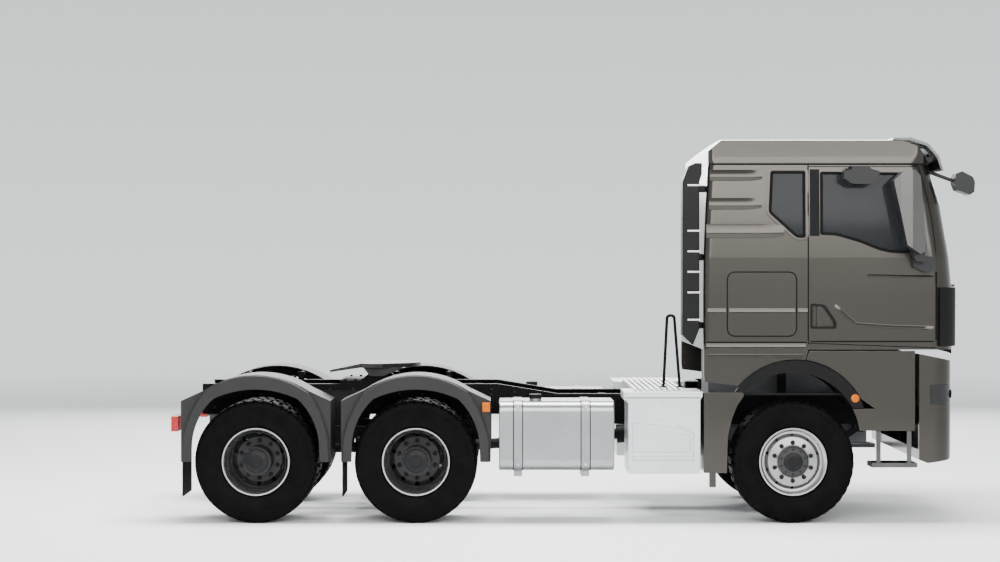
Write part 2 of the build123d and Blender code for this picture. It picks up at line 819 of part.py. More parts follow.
inner_x, inner_z, inner_r = arch_inner
outer_x, outer_z, outer_r = arch_outer
liner_top = inner_z + inner_r + liner_skin
with BuildPart() as wheel_arches:
    add(disc_prism(outer_x, outer_z, outer_r, trim_inner_y, trim_outer_y))
    add(below_arch(trim_inner_y - 1, trim_outer_y + 1), mode=Mode.SUBTRACT)
    add(disc_prism(inner_x, inner_z, inner_r + liner_skin, liner_inner_y, trim_inner_y))
    add(below_arch(liner_inner_y, trim_inner_y), mode=Mode.SUBTRACT)
    add(disc_prism(inner_x, inner_z, inner_r, 0, 1400), mode=Mode.SUBTRACT)
    add(box_at((inner_x - arch_bar_half, -arch_bar_y[1], arch_bar_z[0]),
               (inner_x + arch_bar_half, -arch_bar_y[0], arch_bar_z[1])))
    add(box_at((inner_x - arch_post_half, -rail_outer_y - 14, frame_top_front - 120),
               (inner_x + arch_post_half, -rail_outer_y, liner_top)))
    add(box_at((inner_x - arch_post_half, -liner_inner_y - 20, inner_z + inner_r - 5),
               (inner_x + arch_post_half, -rail_outer_y, liner_top)))
    mirror(about=Plane.XZ)
save(wheel_arches.part, "wheel_arches")

# Body-coloured mudguards behind the front wheels, moulded as an open-backed box
guard_rear_x = 1127
guard_well_x = 1262
guard_front_x = 1329
guard_low = 444
guard_high = 1146
guard_skin_y = 1232
guard_outer_y = 1250
guard_inner_y = 700
guard_wall = 12
guard_tail = 154
guard_arm_z = 900
guard_face = [
    (guard_rear_x, guard_high), (1470, guard_high), (1478, 1119), (1417, 1031), (1373, 917),
    (guard_front_x + 8, 768), (guard_front_x, guard_low), (guard_rear_x, guard_low),
]
with BuildPart() as front_mudguards:
    add(box_at((guard_rear_x, -guard_skin_y, guard_low), (guard_well_x, -guard_inner_y, guard_high)))
    add(box_at((guard_rear_x + guard_wall, -guard_skin_y, guard_low + guard_wall),
               (guard_well_x - guard_wall, -guard_inner_y + 1, guard_high - guard_wall)), mode=Mode.SUBTRACT)
    add(side_prism(guard_face, guard_skin_y, guard_outer_y))
    add(box_at((guard_rear_x + 75, -960, guard_low - guard_tail), (guard_well_x, -900, guard_low)))
    add(box_at((guard_rear_x, -guard_inner_y - 5, guard_arm_z),
               (guard_rear_x + guard_wall, -rail_outer_y, guard_arm_z + 60)))
    mirror(about=Plane.XZ)
save(front_mudguards.part, "front_mudguards")


def plan_outline(x_front, x_rear, half_width, inset, front_corner, rear_corner, bow):
    """Plan of a cab or bumper section: bowed front, round corners, flat sides and rear."""
    front = x_front - inset
    rear = x_rear + inset
    half = half_width - inset
    front_radius = front_corner - inset
    rear_radius = rear_corner - inset
    flat = half - front_radius
    end_angle = 2 * math.atan(bow / flat)
    run = front_radius / math.tan((math.pi / 2 - end_angle) / 2)
    with BuildLine() as outline:
        ThreePointArc((front, -flat), (front + bow, 0), (front, flat))
        TangentArc((front - run, half), (front, flat), tangent=(1, 0))
        Line((front - run, half), (rear + rear_radius, half))
        RadiusArc((rear, half - rear_radius), (rear + rear_radius, half), rear_radius)
        Line((rear, half - rear_radius), (rear, -half + rear_radius))
        RadiusArc((rear + rear_radius, -half), (rear, -half + rear_radius), rear_radius)
        Line((rear + rear_radius, -half), (front - run, -half))
        TangentArc((front - run, -half), (front, -flat), tangent=(1, 0))
    return outline.line


# Bumper: bowed hollow moulding, open at its top and rear, that holds the headlamps
bumper_front_x = 3318
bumper_front_corner = 170
bumper_rear_corner = 90
bumper_half_width = 1222
bumper_wall = 40
bumper_rear_x = 3011
bumper_low = 527
bumper_top = 1500
bumper_bow = 60
bumper_profile = [
    (bumper_rear_x, bumper_top - 30),
    (bumper_rear_x, 558),
    (3087, bumper_low),
    (3290, 554),
    (3365, 643),
    (3385, 705),
    (3385, 1340),
    (3344, 1416),
    (3284, 1428),
    (3040, bumper_top - 22),
]
lamp_pocket = ((3110, -1300, 1040), (3420, -880, 1215))


def bumper_plan(inset, low, high, x_rear):
    """Upright block on the bumper's plan, inset, between two levels."""
    with BuildPart() as body:
        with BuildSketch(Plane.XY.offset(low)):
            with BuildLine():
                add(plan_outline(bumper_front_x, x_rear, bumper_half_width, inset,
                                 bumper_front_corner, bumper_rear_corner, bumper_bow))
            make_face()
        extrude(amount=high - low)
    return body.part


bumper_outer = bumper_plan(0, bumper_low - 10, bumper_top + 10, 2500) & (
    side_prism(bumper_profile, -1300, 1300)
)
bumper_hollow = bumper_plan(bumper_wall, bumper_low + 120, bumper_top + 20, 2500)
head_block = bumper_outer & box_at(*lamp_pocket)
bracket_low = frame_top_front - rail_height
with BuildPart() as bumper:
    add(bumper_outer)
    add(bumper_hollow, mode=Mode.SUBTRACT)
    add(mirror(box_at(*lamp_pocket), about=Plane.XZ), mode=Mode.SUBTRACT)
    add(box_at(*lamp_pocket), mode=Mode.SUBTRACT)
    for side in (-1, 1):
        add(box_at((frame_front_x, side * (rail_inner_y - 5), bracket_low),
                   (bumper_front_x + 22, side * (web_inner_y - 5), bracket_low + 115)))
save(bumper.part, "bumper")

with BuildPart() as headlamps:
    add(head_block)
    add(bumper_plan(bumper_wall + 25, bumper_low, bumper_top + 20, 2500), mode=Mode.SUBTRACT)
    mirror(about=Plane.XZ)
save(headlamps.part, "headlamps")

# Entry panels between wheel arch and bumper, with the boarding step hung under each
entry_front_x = 2976
entry_low = 811
entry_high = 1510
entry_skin = 28
entry_outer_y = 1222
split_gap = 8
split_top_x = 2050
split_bottom_x = 2006
step_rear_x = 2601
step_front_x = 3000
step_low = 488
step_tread = 40
step_inner_y = 950
step_outer_y = 1205
panel_arm_x = (2700, 2760)
entry_outline = [
    (split_top_x, entry_high),
    (entry_front_x, entry_high),
    (entry_front_x, entry_low),
    (inner_x + 400, entry_low),
    (inner_x + 400, arch_front_z - split_gap),
    (outer_x + outer_r + 60, arch_front_z - split_gap),
    (outer_x + outer_r - 40, arch_front_z + 60),
    (split_bottom_x, outer_z + outer_r - 60),
]
with BuildPart() as entry_panels:
    add(side_prism(entry_outline, entry_outer_y - entry_skin, entry_outer_y))
    add(disc_prism(inner_x, inner_z, inner_r, 1000, 1300), mode=Mode.SUBTRACT)
    with BuildSketch(Plane.XZ.offset(entry_outer_y - entry_skin)):
        with Locations((outer_x, outer_z)):
            Circle(outer_r + split_gap)
        with Locations((outer_x + outer_r, arch_front_z - split_gap)):
            Rectangle(2 * outer_r, 2 * outer_r, align=(Align.CENTER, Align.MAX), mode=Mode.SUBTRACT)
    extrude(amount=entry_skin, mode=Mode.SUBTRACT)
    add(box_at((panel_arm_x[0], -rail_outer_y, 860), (panel_arm_x[1], -entry_outer_y + entry_skin, 895)))
    add(box_at((panel_arm_x[0], -rail_outer_y - 14, 830), (panel_arm_x[1], -rail_outer_y, 960)))
    mirror(about=Plane.XZ)
save(entry_panels.part, "entry_panels")

tread_frame = (35, 25)
tread_bars = (2660, 2740, 2820, 2900)
tread_bar_width = 22
hanger_size = (40, 14)
with BuildPart() as step_frames:
    tread_top = step_low + step_tread
    add(box_at((step_rear_x, -step_outer_y, step_low), (step_front_x, -step_inner_y, tread_top)))
    add(box_at((step_rear_x + tread_frame[0], -step_outer_y + tread_frame[1], step_low - 1),
               (step_front_x - tread_frame[0], -step_inner_y - tread_frame[1], tread_top + 1)),
        mode=Mode.SUBTRACT)
    for x in tread_bars:
        add(box_at((x, -step_outer_y, step_low), (x + tread_bar_width, -step_inner_y, tread_top)))
    for x in (step_rear_x + 40, step_front_x - 90):
        add(box_at((x, -entry_outer_y + entry_skin, tread_top),
                   (x + hanger_size[0], -entry_outer_y + entry_skin + hanger_size[1], entry_low + 90)))
    mirror(about=Plane.XZ)
save(step_frames.part, "step_frames")

# Coupling: mounting plate and pedestals on the rails, and the plate that pitches on them
plate_half_width = 450
plate_thickness = 38
plate_rear_x = -2208
plate_front_x = -1390
pedestal_y = 330
pedestal_width = 60
base_thickness = 30
base_half = 330
pedestal_foot = 150
pedestal_head = 42
pedestal_eye_radius = 40
pitch_pin_radius = 32
pitch_gap = 5
with BuildPart() as fifth_wheel_base:
    add(box_at((coupling_x - base_half, -rail_outer_y, frame_top_rear),
               (coupling_x + base_half, rail_outer_y, frame_top_rear + base_thickness)))
    for side in (-1, 1):
        with BuildSketch(Plane.XZ.offset(-side * pedestal_y + pedestal_width / 2)):
            with BuildLine():
                Polyline(
                    (coupling_x - pedestal_foot, frame_top_rear + base_thickness),
                    (coupling_x + pedestal_foot, frame_top_rear + base_thickness),
                    (coupling_x + pedestal_head, coupling_pitch_z + 5),
                    (coupling_x - pedestal_head, coupling_pitch_z + 5),
                    close=True,
                )
            make_face()
        extrude(amount=-pedestal_width)
        with Locations((coupling_x, side * pedestal_y, coupling_pitch_z)):
            Cylinder(pedestal_eye_radius, pedestal_width, rotation=(90, 0, 0))
            Cylinder(pitch_pin_radius + running_gap, 2 * pedestal_width, rotation=(90, 0, 0),
                     mode=Mode.SUBTRACT)
save(fifth_wheel_base.part, "fifth_wheel_base")

# The plate: flat round-fronted top, two drooping ramps with a throat between them, skirt ribs
throat_half = 45
ramp_droop = 62
plate_nose = (90, 260)
plate_shoulder = (60, -130)
rib_reach = (-120, 240)
rib_foot = 60
rib_low = coupling_pitch_z - 38
rib_width = 24
with BuildPart() as fifth_wheel_plate:
    with BuildSketch(Plane.XY.offset(coupling_top_z - plate_thickness)):
        with BuildLine():
            Polyline(
                (coupling_x + plate_shoulder[1], -plate_half_width),
                (coupling_x + plate_shoulder[0], -plate_half_width),
                (plate_front_x - plate_nose[0], -plate_nose[1]),
            )
            ThreePointArc((plate_front_x - plate_nose[0], -plate_nose[1]), (plate_front_x, 0),
                          (plate_front_x - plate_nose[0], plate_nose[1]))
            Polyline(
                (plate_front_x - plate_nose[0], plate_nose[1]),
                (coupling_x + plate_shoulder[0], plate_half_width),
                (coupling_x + plate_shoulder[1], plate_half_width),
                (coupling_x + plate_shoulder[1], -plate_half_width),
            )
        make_face()
    extrude(amount=plate_thickness)
    for side in (-1, 1):
        with BuildSketch(Plane.XZ.offset(-side * throat_half)):
            with BuildLine():
                Polyline(
                    (coupling_x + plate_shoulder[1], coupling_top_z),
                    (plate_rear_x, coupling_top_z - ramp_droop),
                    (plate_rear_x, coupling_top_z - ramp_droop - 20),
                    (coupling_x + plate_shoulder[1], coupling_top_z - plate_thickness),
                    close=True,
                )
            make_face()
        extrude(amount=-side * 300)
        for y in (pedestal_y - pedestal_width / 2 - pitch_gap - rib_width,
                  pedestal_y + pedestal_width / 2 + pitch_gap):
            with BuildSketch(Plane.XZ.offset(-side * y)):
                with BuildLine():
                    Polyline(
                        (coupling_x + rib_reach[0], coupling_top_z - plate_thickness),
                        (coupling_x + rib_reach[1], coupling_top_z - plate_thickness),
                        (coupling_x + rib_foot, rib_low),
                        (coupling_x - rib_foot, rib_low),
                        close=True,
                    )
                make_face()
            extrude(amount=-side * rib_width)
        with Locations((coupling_x, side * pedestal_y, coupling_pitch_z)):
            Cylinder(pitch_pin_radius, pedestal_width + 2 * pitch_gap + rib_width, rotation=(90, 0, 0))
    with Locations((coupling_x, 0, coupling_top_z)):
        Cylinder(kingpin_hole_radius, 2 * plate_thickness + 60, mode=Mode.SUBTRACT)
save(fifth_wheel_plate.part, "fifth_wheel_plate")

# Cab body: sections at five levels, joined by straight surfaces
cab_sections = (
    # (level, front at the corners, rear, half width)
    (1520, 3330, 1130, 1218),
    (2040, 3332, 1130, 1221),
    (belt_z, 3306, 1132, 1221),
    (2792, 3228, 1150, 1207),
    (roof_line_z, 3118, 1173, 1190),
)
cab_low = cab_sections[0][0]
cab_inner_half = cab_half_width - cab_wall


def cab_body(inset):
    """Cab volume, its faces moved inwards by the inset."""
    with BuildPart() as body:
        for level, front, rear, half in cab_sections:
            with BuildSketch(Plane.XY.offset(level)):
                with BuildLine():
                    add(plan_outline(front, rear, half, inset, cab_front_corner, cab_rear_corner, front_bow))
                make_face()
        loft(ruled=True)
    return body.part


def opening_prism(outline, grow=0.0, corner=0.0):
    """Right-hand cutter through the side wall: an outline, grown, with rounded corners."""
    with BuildPart() as prism:
        with BuildSketch(Plane.XZ.offset(1105)):
            with BuildLine():
                Polyline(*outline, close=True)
            make_face()
            if corner:
                offset(amount=-corner, kind=Kind.INTERSECTION)
                offset(amount=corner, kind=Kind.ARC)
            if grow:
                offset(amount=grow, kind=Kind.INTERSECTION)
        extrude(amount=400)
    return prism.part


door_outline = [
    (rear_door_seam_x, 1580),
    (door_front_x, 1540),
    (door_front_x, belt_z + 4),
    (3144, 2477),
    (3122, 2652),
    (3087, 2827),
    (3043, 3002),
    (3008, 3118),
    (rear_door_seam_x, 3118),
]
door_window = [
    (2152, 3072), (2152, 2530), (2283, 2525), (2388, 2495), (2493, 2464),
    (2667, 2394), (2764, 2373), (2868, 2368), (3052, 2390), (2925, 3064),
]
handle_pocket = [(2075, 1909), (2180, 1900), (2274, 1760), (2274, 1717), (2075, 1717)]
handle_bar = [(2118, 1925), (2152, 1925), (2185, 1800), (2152, 1700), (2118, 1700)]
quarter_window = [(1719, 3078), (2012, 3078), (2012, 2504), (1942, 2504), (1702, 2722)]
locker_corner = 70
locker_outline = [(1335, 2198), (1938, 2198), (1938, 1639), (1335, 1639)]
strakes = (
    [(1182, 3092), (1640, 3092), (1640, 3068), (1560, 3000), (1182, 3000)],
    [(1172, 2846), (1632, 2846), (1632, 2822), (1540, 2748), (1172, 2748)],
    [(1150, 2618), (1560, 2610), (1830, 2530), (1830, 2505), (1620, 2500), (1150, 2505)],
)
screen_outline = [(-1075, 2415), (1075, 2415), (1030, 3085), (-1030, 3085)]
flap_rear_x = 3190
flap_low_z = 1549
flap_high_z = 2065
flap_stand = 5
flap_skin = 30
flap_hinge_y = (-620, 620)
flap_hinge_half = 60
glass_inset = 6
glass_thickness = 8
strake_proud = 14

cab_outer = cab_body(0)
cab_inner = cab_body(cab_wall)
glass_outer = cab_body(glass_inset)
glass_inner = cab_body(glass_inset + glass_thickness)
cab_proud = cab_body(-strake_proud)
cab_walls = cab_outer - cab_inner
glass_layer = glass_outer - glass_inner

with BuildPart() as screen_cutter:
    with BuildSketch(Plane.YZ.offset(3000)):
        with BuildLine():
            Polyline(*screen_outline, close=True)
        make_face()
        fillet(vertices(), 60)
    extrude(amount=500)

with BuildPart() as cab_floor:
    with BuildSketch(Plane.XY.offset(cab_low)):
        with BuildLine():
            add(plan_outline(cab_sections[0][1], cab_rear_x, cab_sections[0][3], cab_wall - 2,
                             cab_front_corner, cab_rear_corner, front_bow))
        make_face()
    extrude(amount=cab_floor_z - cab_low)
    for side in (-1, 1):
        add(box_at((rear_door_seam_x - 20, side * 1100, cab_low + 7),
                   (door_front_x + 40, side * 1300, cab_floor_z + 1)), mode=Mode.SUBTRACT)

skirt_outline = [
    (cab_rear_x, cab_low + 5),
    (split_top_x - split_gap, cab_low + 5),
    (split_top_x - split_gap, entry_high),
    (split_bottom_x - split_gap, outer_z + outer_r - 60),
    (1470, 1197),
    (cab_rear_x + 8, 1240),
    (cab_rear_x, 1300),
]
arm_outline = [
    (2570, cab_low + 5), (2800, cab_low + 5), (tilt_x + 52, tilt_z + 20),
    (tilt_x + 40, tilt_z - 40), (tilt_x - 40, tilt_z - 40),
]
with BuildPart() as cab_shell:
    add(cab_walls)
    add(cab_floor.part)
    for outline in strakes:
        add((cab_proud - cab_inner) & opening_prism(outline, corner=10))
        add(mirror((cab_proud - cab_inner) & opening_prism(outline, corner=10), about=Plane.XZ))
    for cutter in (
        opening_prism(door_outline, grow=panel_gap)
        - box_at((door_front_x + running_gap, -1600, 1000), (door_front_x + 100, -1000, 3200)),
        opening_prism(quarter_window, corner=30),
        opening_prism(locker_outline, grow=panel_gap, corner=locker_corner)
        - box_at((1000, -1600, locker_outline[0][1] + running_gap), (2100, -1000, 2500)),
    ):
        add(cutter, mode=Mode.SUBTRACT)
        add(mirror(cutter, about=Plane.XZ), mode=Mode.SUBTRACT)
    add(screen_cutter.part, mode=Mode.SUBTRACT)
    for side in (-1, 1):
        skirt = side_prism(skirt_outline, cab_inner_half + 2, cab_sections[0][3]) - disc_prism(
            outer_x, outer_z, outer_r + split_gap, 1000, 1400
        )
        arm = side_prism(arm_outline, tilt_arm_y, tilt_arm_y + tilt_arm_width) + disc_prism(
            tilt_x, tilt_z, tilt_pin_radius + 26, tilt_arm_y, tilt_arm_y + tilt_arm_width
        )
        arm = arm - disc_prism(tilt_x, tilt_z, tilt_pin_radius + running_gap, 0, 1400)
        add(skirt if side < 0 else mirror(skirt, about=Plane.XZ))
        add(arm if side < 0 else mirror(arm, about=Plane.XZ))
    for y in flap_hinge_y:
        add(box_at((3330, y - flap_hinge_half, flap_high_z + running_gap),
                   (3432, y + flap_hinge_half, flap_high_z + 24)))
save(cab_shell.part, "cab_shell")

# Glass that stays with the cab: windscreen and the two quarter windows
with BuildPart() as cab_glazing:
    add(glass_layer & screen_cutter.part)
    quarter = glass_layer & opening_prism(quarter_window, corner=30)
    add(quarter)
    add(mirror(quarter, about=Plane.XZ))
save(cab_glazing.part, "cab_glazing")

# Doors, their glass and the locker lids are cut from the same walls
door_solid = cab_walls & opening_prism(door_outline)
door_pocket = (cab_outer - cab_body(30)) & opening_prism(handle_pocket, corner=8)
door_bar = (cab_body(8) - cab_body(26)) & opening_prism(handle_bar)
locker_lid = cab_walls & opening_prism(locker_outline, corner=locker_corner)
door_pane = glass_layer & opening_prism(door_window, corner=22)
with BuildPart() as door:
    add(door_solid)
    add(opening_prism(door_window, corner=22), mode=Mode.SUBTRACT)
    add(door_pocket, mode=Mode.SUBTRACT)
    add(door_bar)
for side_name, side in sides.items():
    for solid, name in ((door.part, "door"), (door_pane, "door_glass"), (locker_lid, "locker_lid")):
        placed = solid if side < 0 else mirror(solid, about=Plane.XZ)
        with BuildPart() as panel:
            add(placed)
        save(panel.part, f"{name}_{side_name}")

# Hinged front panel, proud of the cab's nose and wrapping its corners
with BuildPart() as front_flap:
    add(cab_body(-flap_stand - flap_skin))
    add(cab_body(-flap_stand), mode=Mode.SUBTRACT)
    add(box_at((flap_rear_x, -1400, flap_low_z), (3700, 1400, flap_high_z)), mode=Mode.INTERSECT)
save(front_flap.part, "front_flap")

# High roof: side profile, crowned front view and bowed plan, hollow and open below
roof_half_low = 1205
roof_half_high = 1172
roof_shoulder_z = 3205
roof_edge_z = 3352
roof_wall = 45
roof_profile = [
    (1165, roof_line_z), (1165, 3255), (1336, 3395), (1700, 3420), (2393, 3420),
    (2877, 3352), (3009, 3300), (3061, 3240), (3120, roof_line_z),
]


def roof_block(inset):
    """Roof volume with its top and plan moved inwards."""
    lift = roof_line_z - (1 if inset else 0)
    with BuildPart() as side_view:
        with BuildSketch(Plane.XZ.offset(-1400)):
            with BuildLine():
                Polyline(*[(x, lift if z == roof_line_z else z - inset) for x, z in roof_profile],
                         close=True)
            make_face()
        extrude(amount=2800)
    with BuildPart() as front_view:
        with BuildSketch(Plane.YZ.offset(1000)):
            with BuildLine():
                ThreePointArc((roof_half_high - inset, roof_edge_z - inset), (0, cab_top_z - inset),
                              (-roof_half_high + inset, roof_edge_z - inset))
                Polyline(
                    (-roof_half_high + inset, roof_edge_z - inset),
                    (-roof_half_low + inset, roof_shoulder_z),
                    (-roof_half_low + inset, lift),
                    (roof_half_low - inset, lift),
                    (roof_half_low - inset, roof_shoulder_z),
                    (roof_half_high - inset, roof_edge_z - inset),
                )
            make_face()
        extrude(amount=2500)
    with BuildPart() as plan_view:
        with BuildSketch(Plane.XY.offset(lift)):
            with BuildLine():
                add(plan_outline(cab_sections[4][1] + 6, cab_sections[4][2] - 4, roof_half_low, inset,
                                 cab_front_corner, cab_rear_corner, front_bow))
            make_face()
        extrude(amount=400)
    return side_view.part & front_view.part & plan_view.part


roof_outer = roof_block(0)
with BuildPart() as cab_roof:
    add(roof_outer)
    add(roof_block(roof_wall), mode=Mode.SUBTRACT)
save(cab_roof.part, "cab_roof")

# Sun visor over the windscreen on three stays
visor_half_width = 1120
visor_stays = (-1000, 0, 1000)
visor_stay_half = 15
visor_profile = [
    (2800, 3378), (2960, 3381), (3110, 3330), (3205, 3220), (3245, 3090),
    (3222, 3087), (3183, 3208), (3098, 3304), (2958, 3353), (2800, 3362),
]
with BuildPart() as sun_visor:
    add(side_prism(visor_profile, -visor_half_width, visor_half_width))
    for y in visor_stays:
        add(box_at((2880, y - visor_stay_half, 3240), (3150, y + visor_stay_half, 3290)))
        add(box_at((2880, y - visor_stay_half, 3240), (2920, y + visor_stay_half, 3370)))
    add(roof_outer, mode=Mode.SUBTRACT)
save(sun_visor.part, "sun_visor")

# Mirrors: a tall housing on each door, a kerb mirror above the right window, and one on an arm
# ahead of the windscreen
mirror_y = (1300, 1520)
mirror_plan = [
    (2740, 1330), (2740, 1490), (2800, 1520), (2900, 1520), (3034, 1450), (3034, 1350), (2860, 1300),
]
mirror_rounding = 20
mirror_outline = [
    (2740, 2986), (2818, 3064), (2922, 3081), (2974, 3029), (3034, 2388), (2974, 2354), (2853, 2432),
]
mirror_foot = [(2940, 2300), (3000, 2345), (3140, 2330), (3140, 2215), (3060, 2195), (2950, 2245)]
mirror_neck = [(2905, 2430), (3025, 2430), (3040, 2290), (2955, 2290)]
mirror_foot_y = 1290
mirror_neck_y = (1240, 1385)
upper_arm = ((2950, 1150, 2990), (2980, 1360, 3020))
kerb_outline = [
    (2377, 3118), (2534, 3118), (2560, 3092), (2629, 3072), (2629, 3010),
    (2570, 2962), (2400, 2962), (2325, 3010), (2325, 3072), (2395, 3092),
]
kerb_y = (1260, 1420)
kerb_mount = ((2400, 1150, 3082), (2520, 1262, 3112))
front_arm_path = [(3110, 3100), (3200, 3068), (3303, 3030), (3390, 2998)]
front_arm_y = 930
front_arm_radius = 16
front_mirror_outline = [
    (3371, 3070), (3424, 3088), (3520, 3039), (3538, 2990), (3531, 2907),
    (3495, 2880), (3384, 2920), (3356, 2986),
]
front_mirror_y = (850, 1040)


def right_block(corner, far_corner):
    """A block given by two corners whose second figure is the distance to the right."""
    return box_at((corner[0], -corner[1], corner[2]), (far_corner[0], -far_corner[1], far_corner[2]))


with BuildPart() as tall_mirror:
    add(side_prism(mirror_outline, *mirror_y))
    with BuildSketch(Plane.XY.offset(2000)):
        with BuildLine():
            Polyline(*[(x, -y) for x, y in mirror_plan], close=True)
        make_face()
        offset(amount=-mirror_rounding, kind=Kind.INTERSECTION)
        offset(amount=mirror_rounding, kind=Kind.ARC)
    extrude(amount=1400, mode=Mode.INTERSECT)
    add(side_prism(mirror_neck, *mirror_neck_y))
    add(side_prism(mirror_foot, cab_half_width - 70, mirror_foot_y))
    add(right_block(*upper_arm))
for side_name, side in sides.items():
    with BuildPart() as mirrors:
        add(tall_mirror.part if side < 0 else mirror(tall_mirror.part, about=Plane.XZ))
        if side < 0:
            add(side_prism(kerb_outline, *kerb_y))
            add(right_block(*kerb_mount))
        add(cab_outer, mode=Mode.SUBTRACT)
    save(mirrors.part, f"mirror_{side_name}")

with BuildPart() as front_mirror:
    with BuildLine(Plane.XZ.offset(front_arm_y)):
        FilletPolyline(*front_arm_path, radius=40)
    (start_x, start_z), (next_x, next_z) = front_arm_path[:2]
    with BuildSketch(Plane((start_x, -front_arm_y, start_z), z_dir=(next_x - start_x, 0, next_z - start_z))):
        Circle(front_arm_radius)
    sweep()
    add(side_prism(front_mirror_outline, *front_mirror_y))
    add(roof_outer, mode=Mode.SUBTRACT)
    add(cab_outer, mode=Mode.SUBTRACT)
save(front_mirror.part, "front_mirror")

# Inside: two seats, a bunk across the rear, and the dashboard with its wheel
seat_y = 600
seat_half = 250
seat_profile = [
    (2700, 2050), (2720, 1960), (2600, 1900), (2560, cab_floor_z + running_gap),
    (2180, cab_floor_z + running_gap), (2160, 1900), (2080, 1960), (1990, 2640), (2010, 2890),
    (2070, 2900), (2110, 2660), (2230, 2080),
]
with BuildPart() as seats:
    for y in (-seat_y, seat_y):
        add(side_prism(seat_profile, -y - seat_half, -y + seat_half))
save(seats.part, "seats")

bunk_rear_x = cab_rear_x + cab_wall + 12
bunk_half = 1120
bunk_base_z = 1990
mattress_top_z = 2130
mattress_rounding = 40
locker_hollow = ((1345, 700, 1642), (1868, 1200, 1975))
with BuildPart() as bunk:
    add(box_at((bunk_rear_x, -bunk_half, cab_floor_z + running_gap), (1880, bunk_half, bunk_base_z)))
    add(box_at((bunk_rear_x, -bunk_half - 10, bunk_base_z), (1900, bunk_half + 10, mattress_top_z)))
    fillet(bunk.edges().filter_by(Axis.Y).group_by(Axis.Z)[-1], mattress_rounding)
    near_corner, far_corner = locker_hollow
    for side in (-1, 1):
        add(box_at((near_corner[0], side * near_corner[1], near_corner[2]),
                   (far_corner[0], side * far_corner[1], far_corner[2])), mode=Mode.SUBTRACT)
save(bunk.part, "bunk")

dash_profile = [
    (2930, cab_floor_z + running_gap), (3180, cab_floor_z + running_gap), (3215, 2330), (3080, 2372),
    (2900, 2330), (2860, 2230), (2980, 1980),
]
steering_radius = 225
steering_grip = 15
steering_hub = 48
column_radius = 34
wheel_centre = (2790, 560, 2330)
wheel_tilt = Plane(origin=wheel_centre, x_dir=(0, 1, 0), z_dir=(-0.55, 0, 0.83))
with BuildPart() as dashboard:
    add(side_prism(dash_profile, -1040, 1040))
    with Locations(wheel_tilt):
        Torus(steering_radius, steering_grip)
        Cylinder(steering_hub, 40)
        with PolarLocations(steering_radius / 2 + 8, 3, start_angle=90):
            Box(steering_radius - 5, 34, 14)
    with BuildSketch(wheel_tilt):
        Circle(column_radius)
    extrude(amount=-260)
save(dashboard.part, "dashboard")

# Air intake column on the cab's rear wall, hooked over at its top and swept in at its foot
intake_outline = [
    (947, 2989), (1000, 3129), (1061, 3156), (1118, 3156), (1118, 3060),
    (1096, 2990), (1096, 1700), (1040, 1556), (947, 1644),
]
intake_y = (950, 1160)
intake_front_x = 1096
intake_bracket = (70, 60)
with BuildPart() as air_intake:
    add(side_prism(intake_outline, *intake_y))
    for z in (1700, 2300, 2900):
        add(box_at((intake_front_x - 10, -intake_y[1] + intake_bracket[0], z),
                   (1200, -intake_y[0] - intake_bracket[0], z + intake_bracket[1])))
    add(cab_outer, mode=Mode.SUBTRACT)
save(air_intake.part, "air_intake")
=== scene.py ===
# %% [markdown]
# This file dresses a three-axle tractor unit. The hard parts already exist as an exact model in
# metres: +X is forward, +Y is the vehicle's left and Z is up from the ground. Each step below adds
# one kind of piece or finish, and says what it is on the real vehicle and why it is made that way.

# %% Load the exact model
import json
import math

import bpy
from mathutils import Matrix, Vector

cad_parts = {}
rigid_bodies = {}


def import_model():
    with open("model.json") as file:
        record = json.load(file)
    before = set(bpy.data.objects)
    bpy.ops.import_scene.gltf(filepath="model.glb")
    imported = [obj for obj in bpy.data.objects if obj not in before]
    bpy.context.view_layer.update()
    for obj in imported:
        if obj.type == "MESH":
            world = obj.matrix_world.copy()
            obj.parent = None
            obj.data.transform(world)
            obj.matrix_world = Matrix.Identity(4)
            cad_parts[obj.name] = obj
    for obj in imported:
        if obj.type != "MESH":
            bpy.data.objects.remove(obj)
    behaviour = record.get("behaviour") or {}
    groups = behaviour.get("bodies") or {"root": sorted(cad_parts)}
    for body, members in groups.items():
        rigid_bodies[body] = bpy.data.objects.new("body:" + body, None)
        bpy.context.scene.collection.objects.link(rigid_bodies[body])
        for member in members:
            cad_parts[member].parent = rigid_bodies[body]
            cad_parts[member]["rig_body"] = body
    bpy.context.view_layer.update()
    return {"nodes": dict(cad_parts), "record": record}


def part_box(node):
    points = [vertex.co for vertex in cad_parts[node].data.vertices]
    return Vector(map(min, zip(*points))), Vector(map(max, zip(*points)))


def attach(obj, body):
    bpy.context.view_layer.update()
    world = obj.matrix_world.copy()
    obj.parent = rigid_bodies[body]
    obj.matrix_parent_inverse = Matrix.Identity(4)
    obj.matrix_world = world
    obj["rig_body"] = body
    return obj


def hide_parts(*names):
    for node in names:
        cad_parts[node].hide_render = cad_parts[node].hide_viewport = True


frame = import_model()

nodes = frame["nodes"]

# %% [markdown]
# The photograph is a long-lens side view. Sizes of the near and far fenders give the distance, and
# the height at which level edges stop tilting gives the height of the eye: a 79 mm lens on a
# 36 mm wide frame, 20.35 m from the vehicle's middle plane, a hair below level.

# %% Camera
camera_place = (-0.653, -20.35, 2.224)
camera_lens = 78.8
camera_pitch = math.radians(90 - 0.31)
bpy.ops.object.camera_add(location=camera_place, rotation=(camera_pitch, 0, 0))
camera = bpy.context.object
camera.data.lens = camera_lens
camera.data.sensor_width = 36
camera.data.clip_end = 200
bpy.context.scene.camera = camera

# %% [markdown]
# The studio is a seamless pale sweep: the floor fades with its distance from the vehicle into the
# colour of the backdrop, so the horizon is soft. The room is evenly pale all round, as a white studio
# is, and the ceiling is left to the lamps.

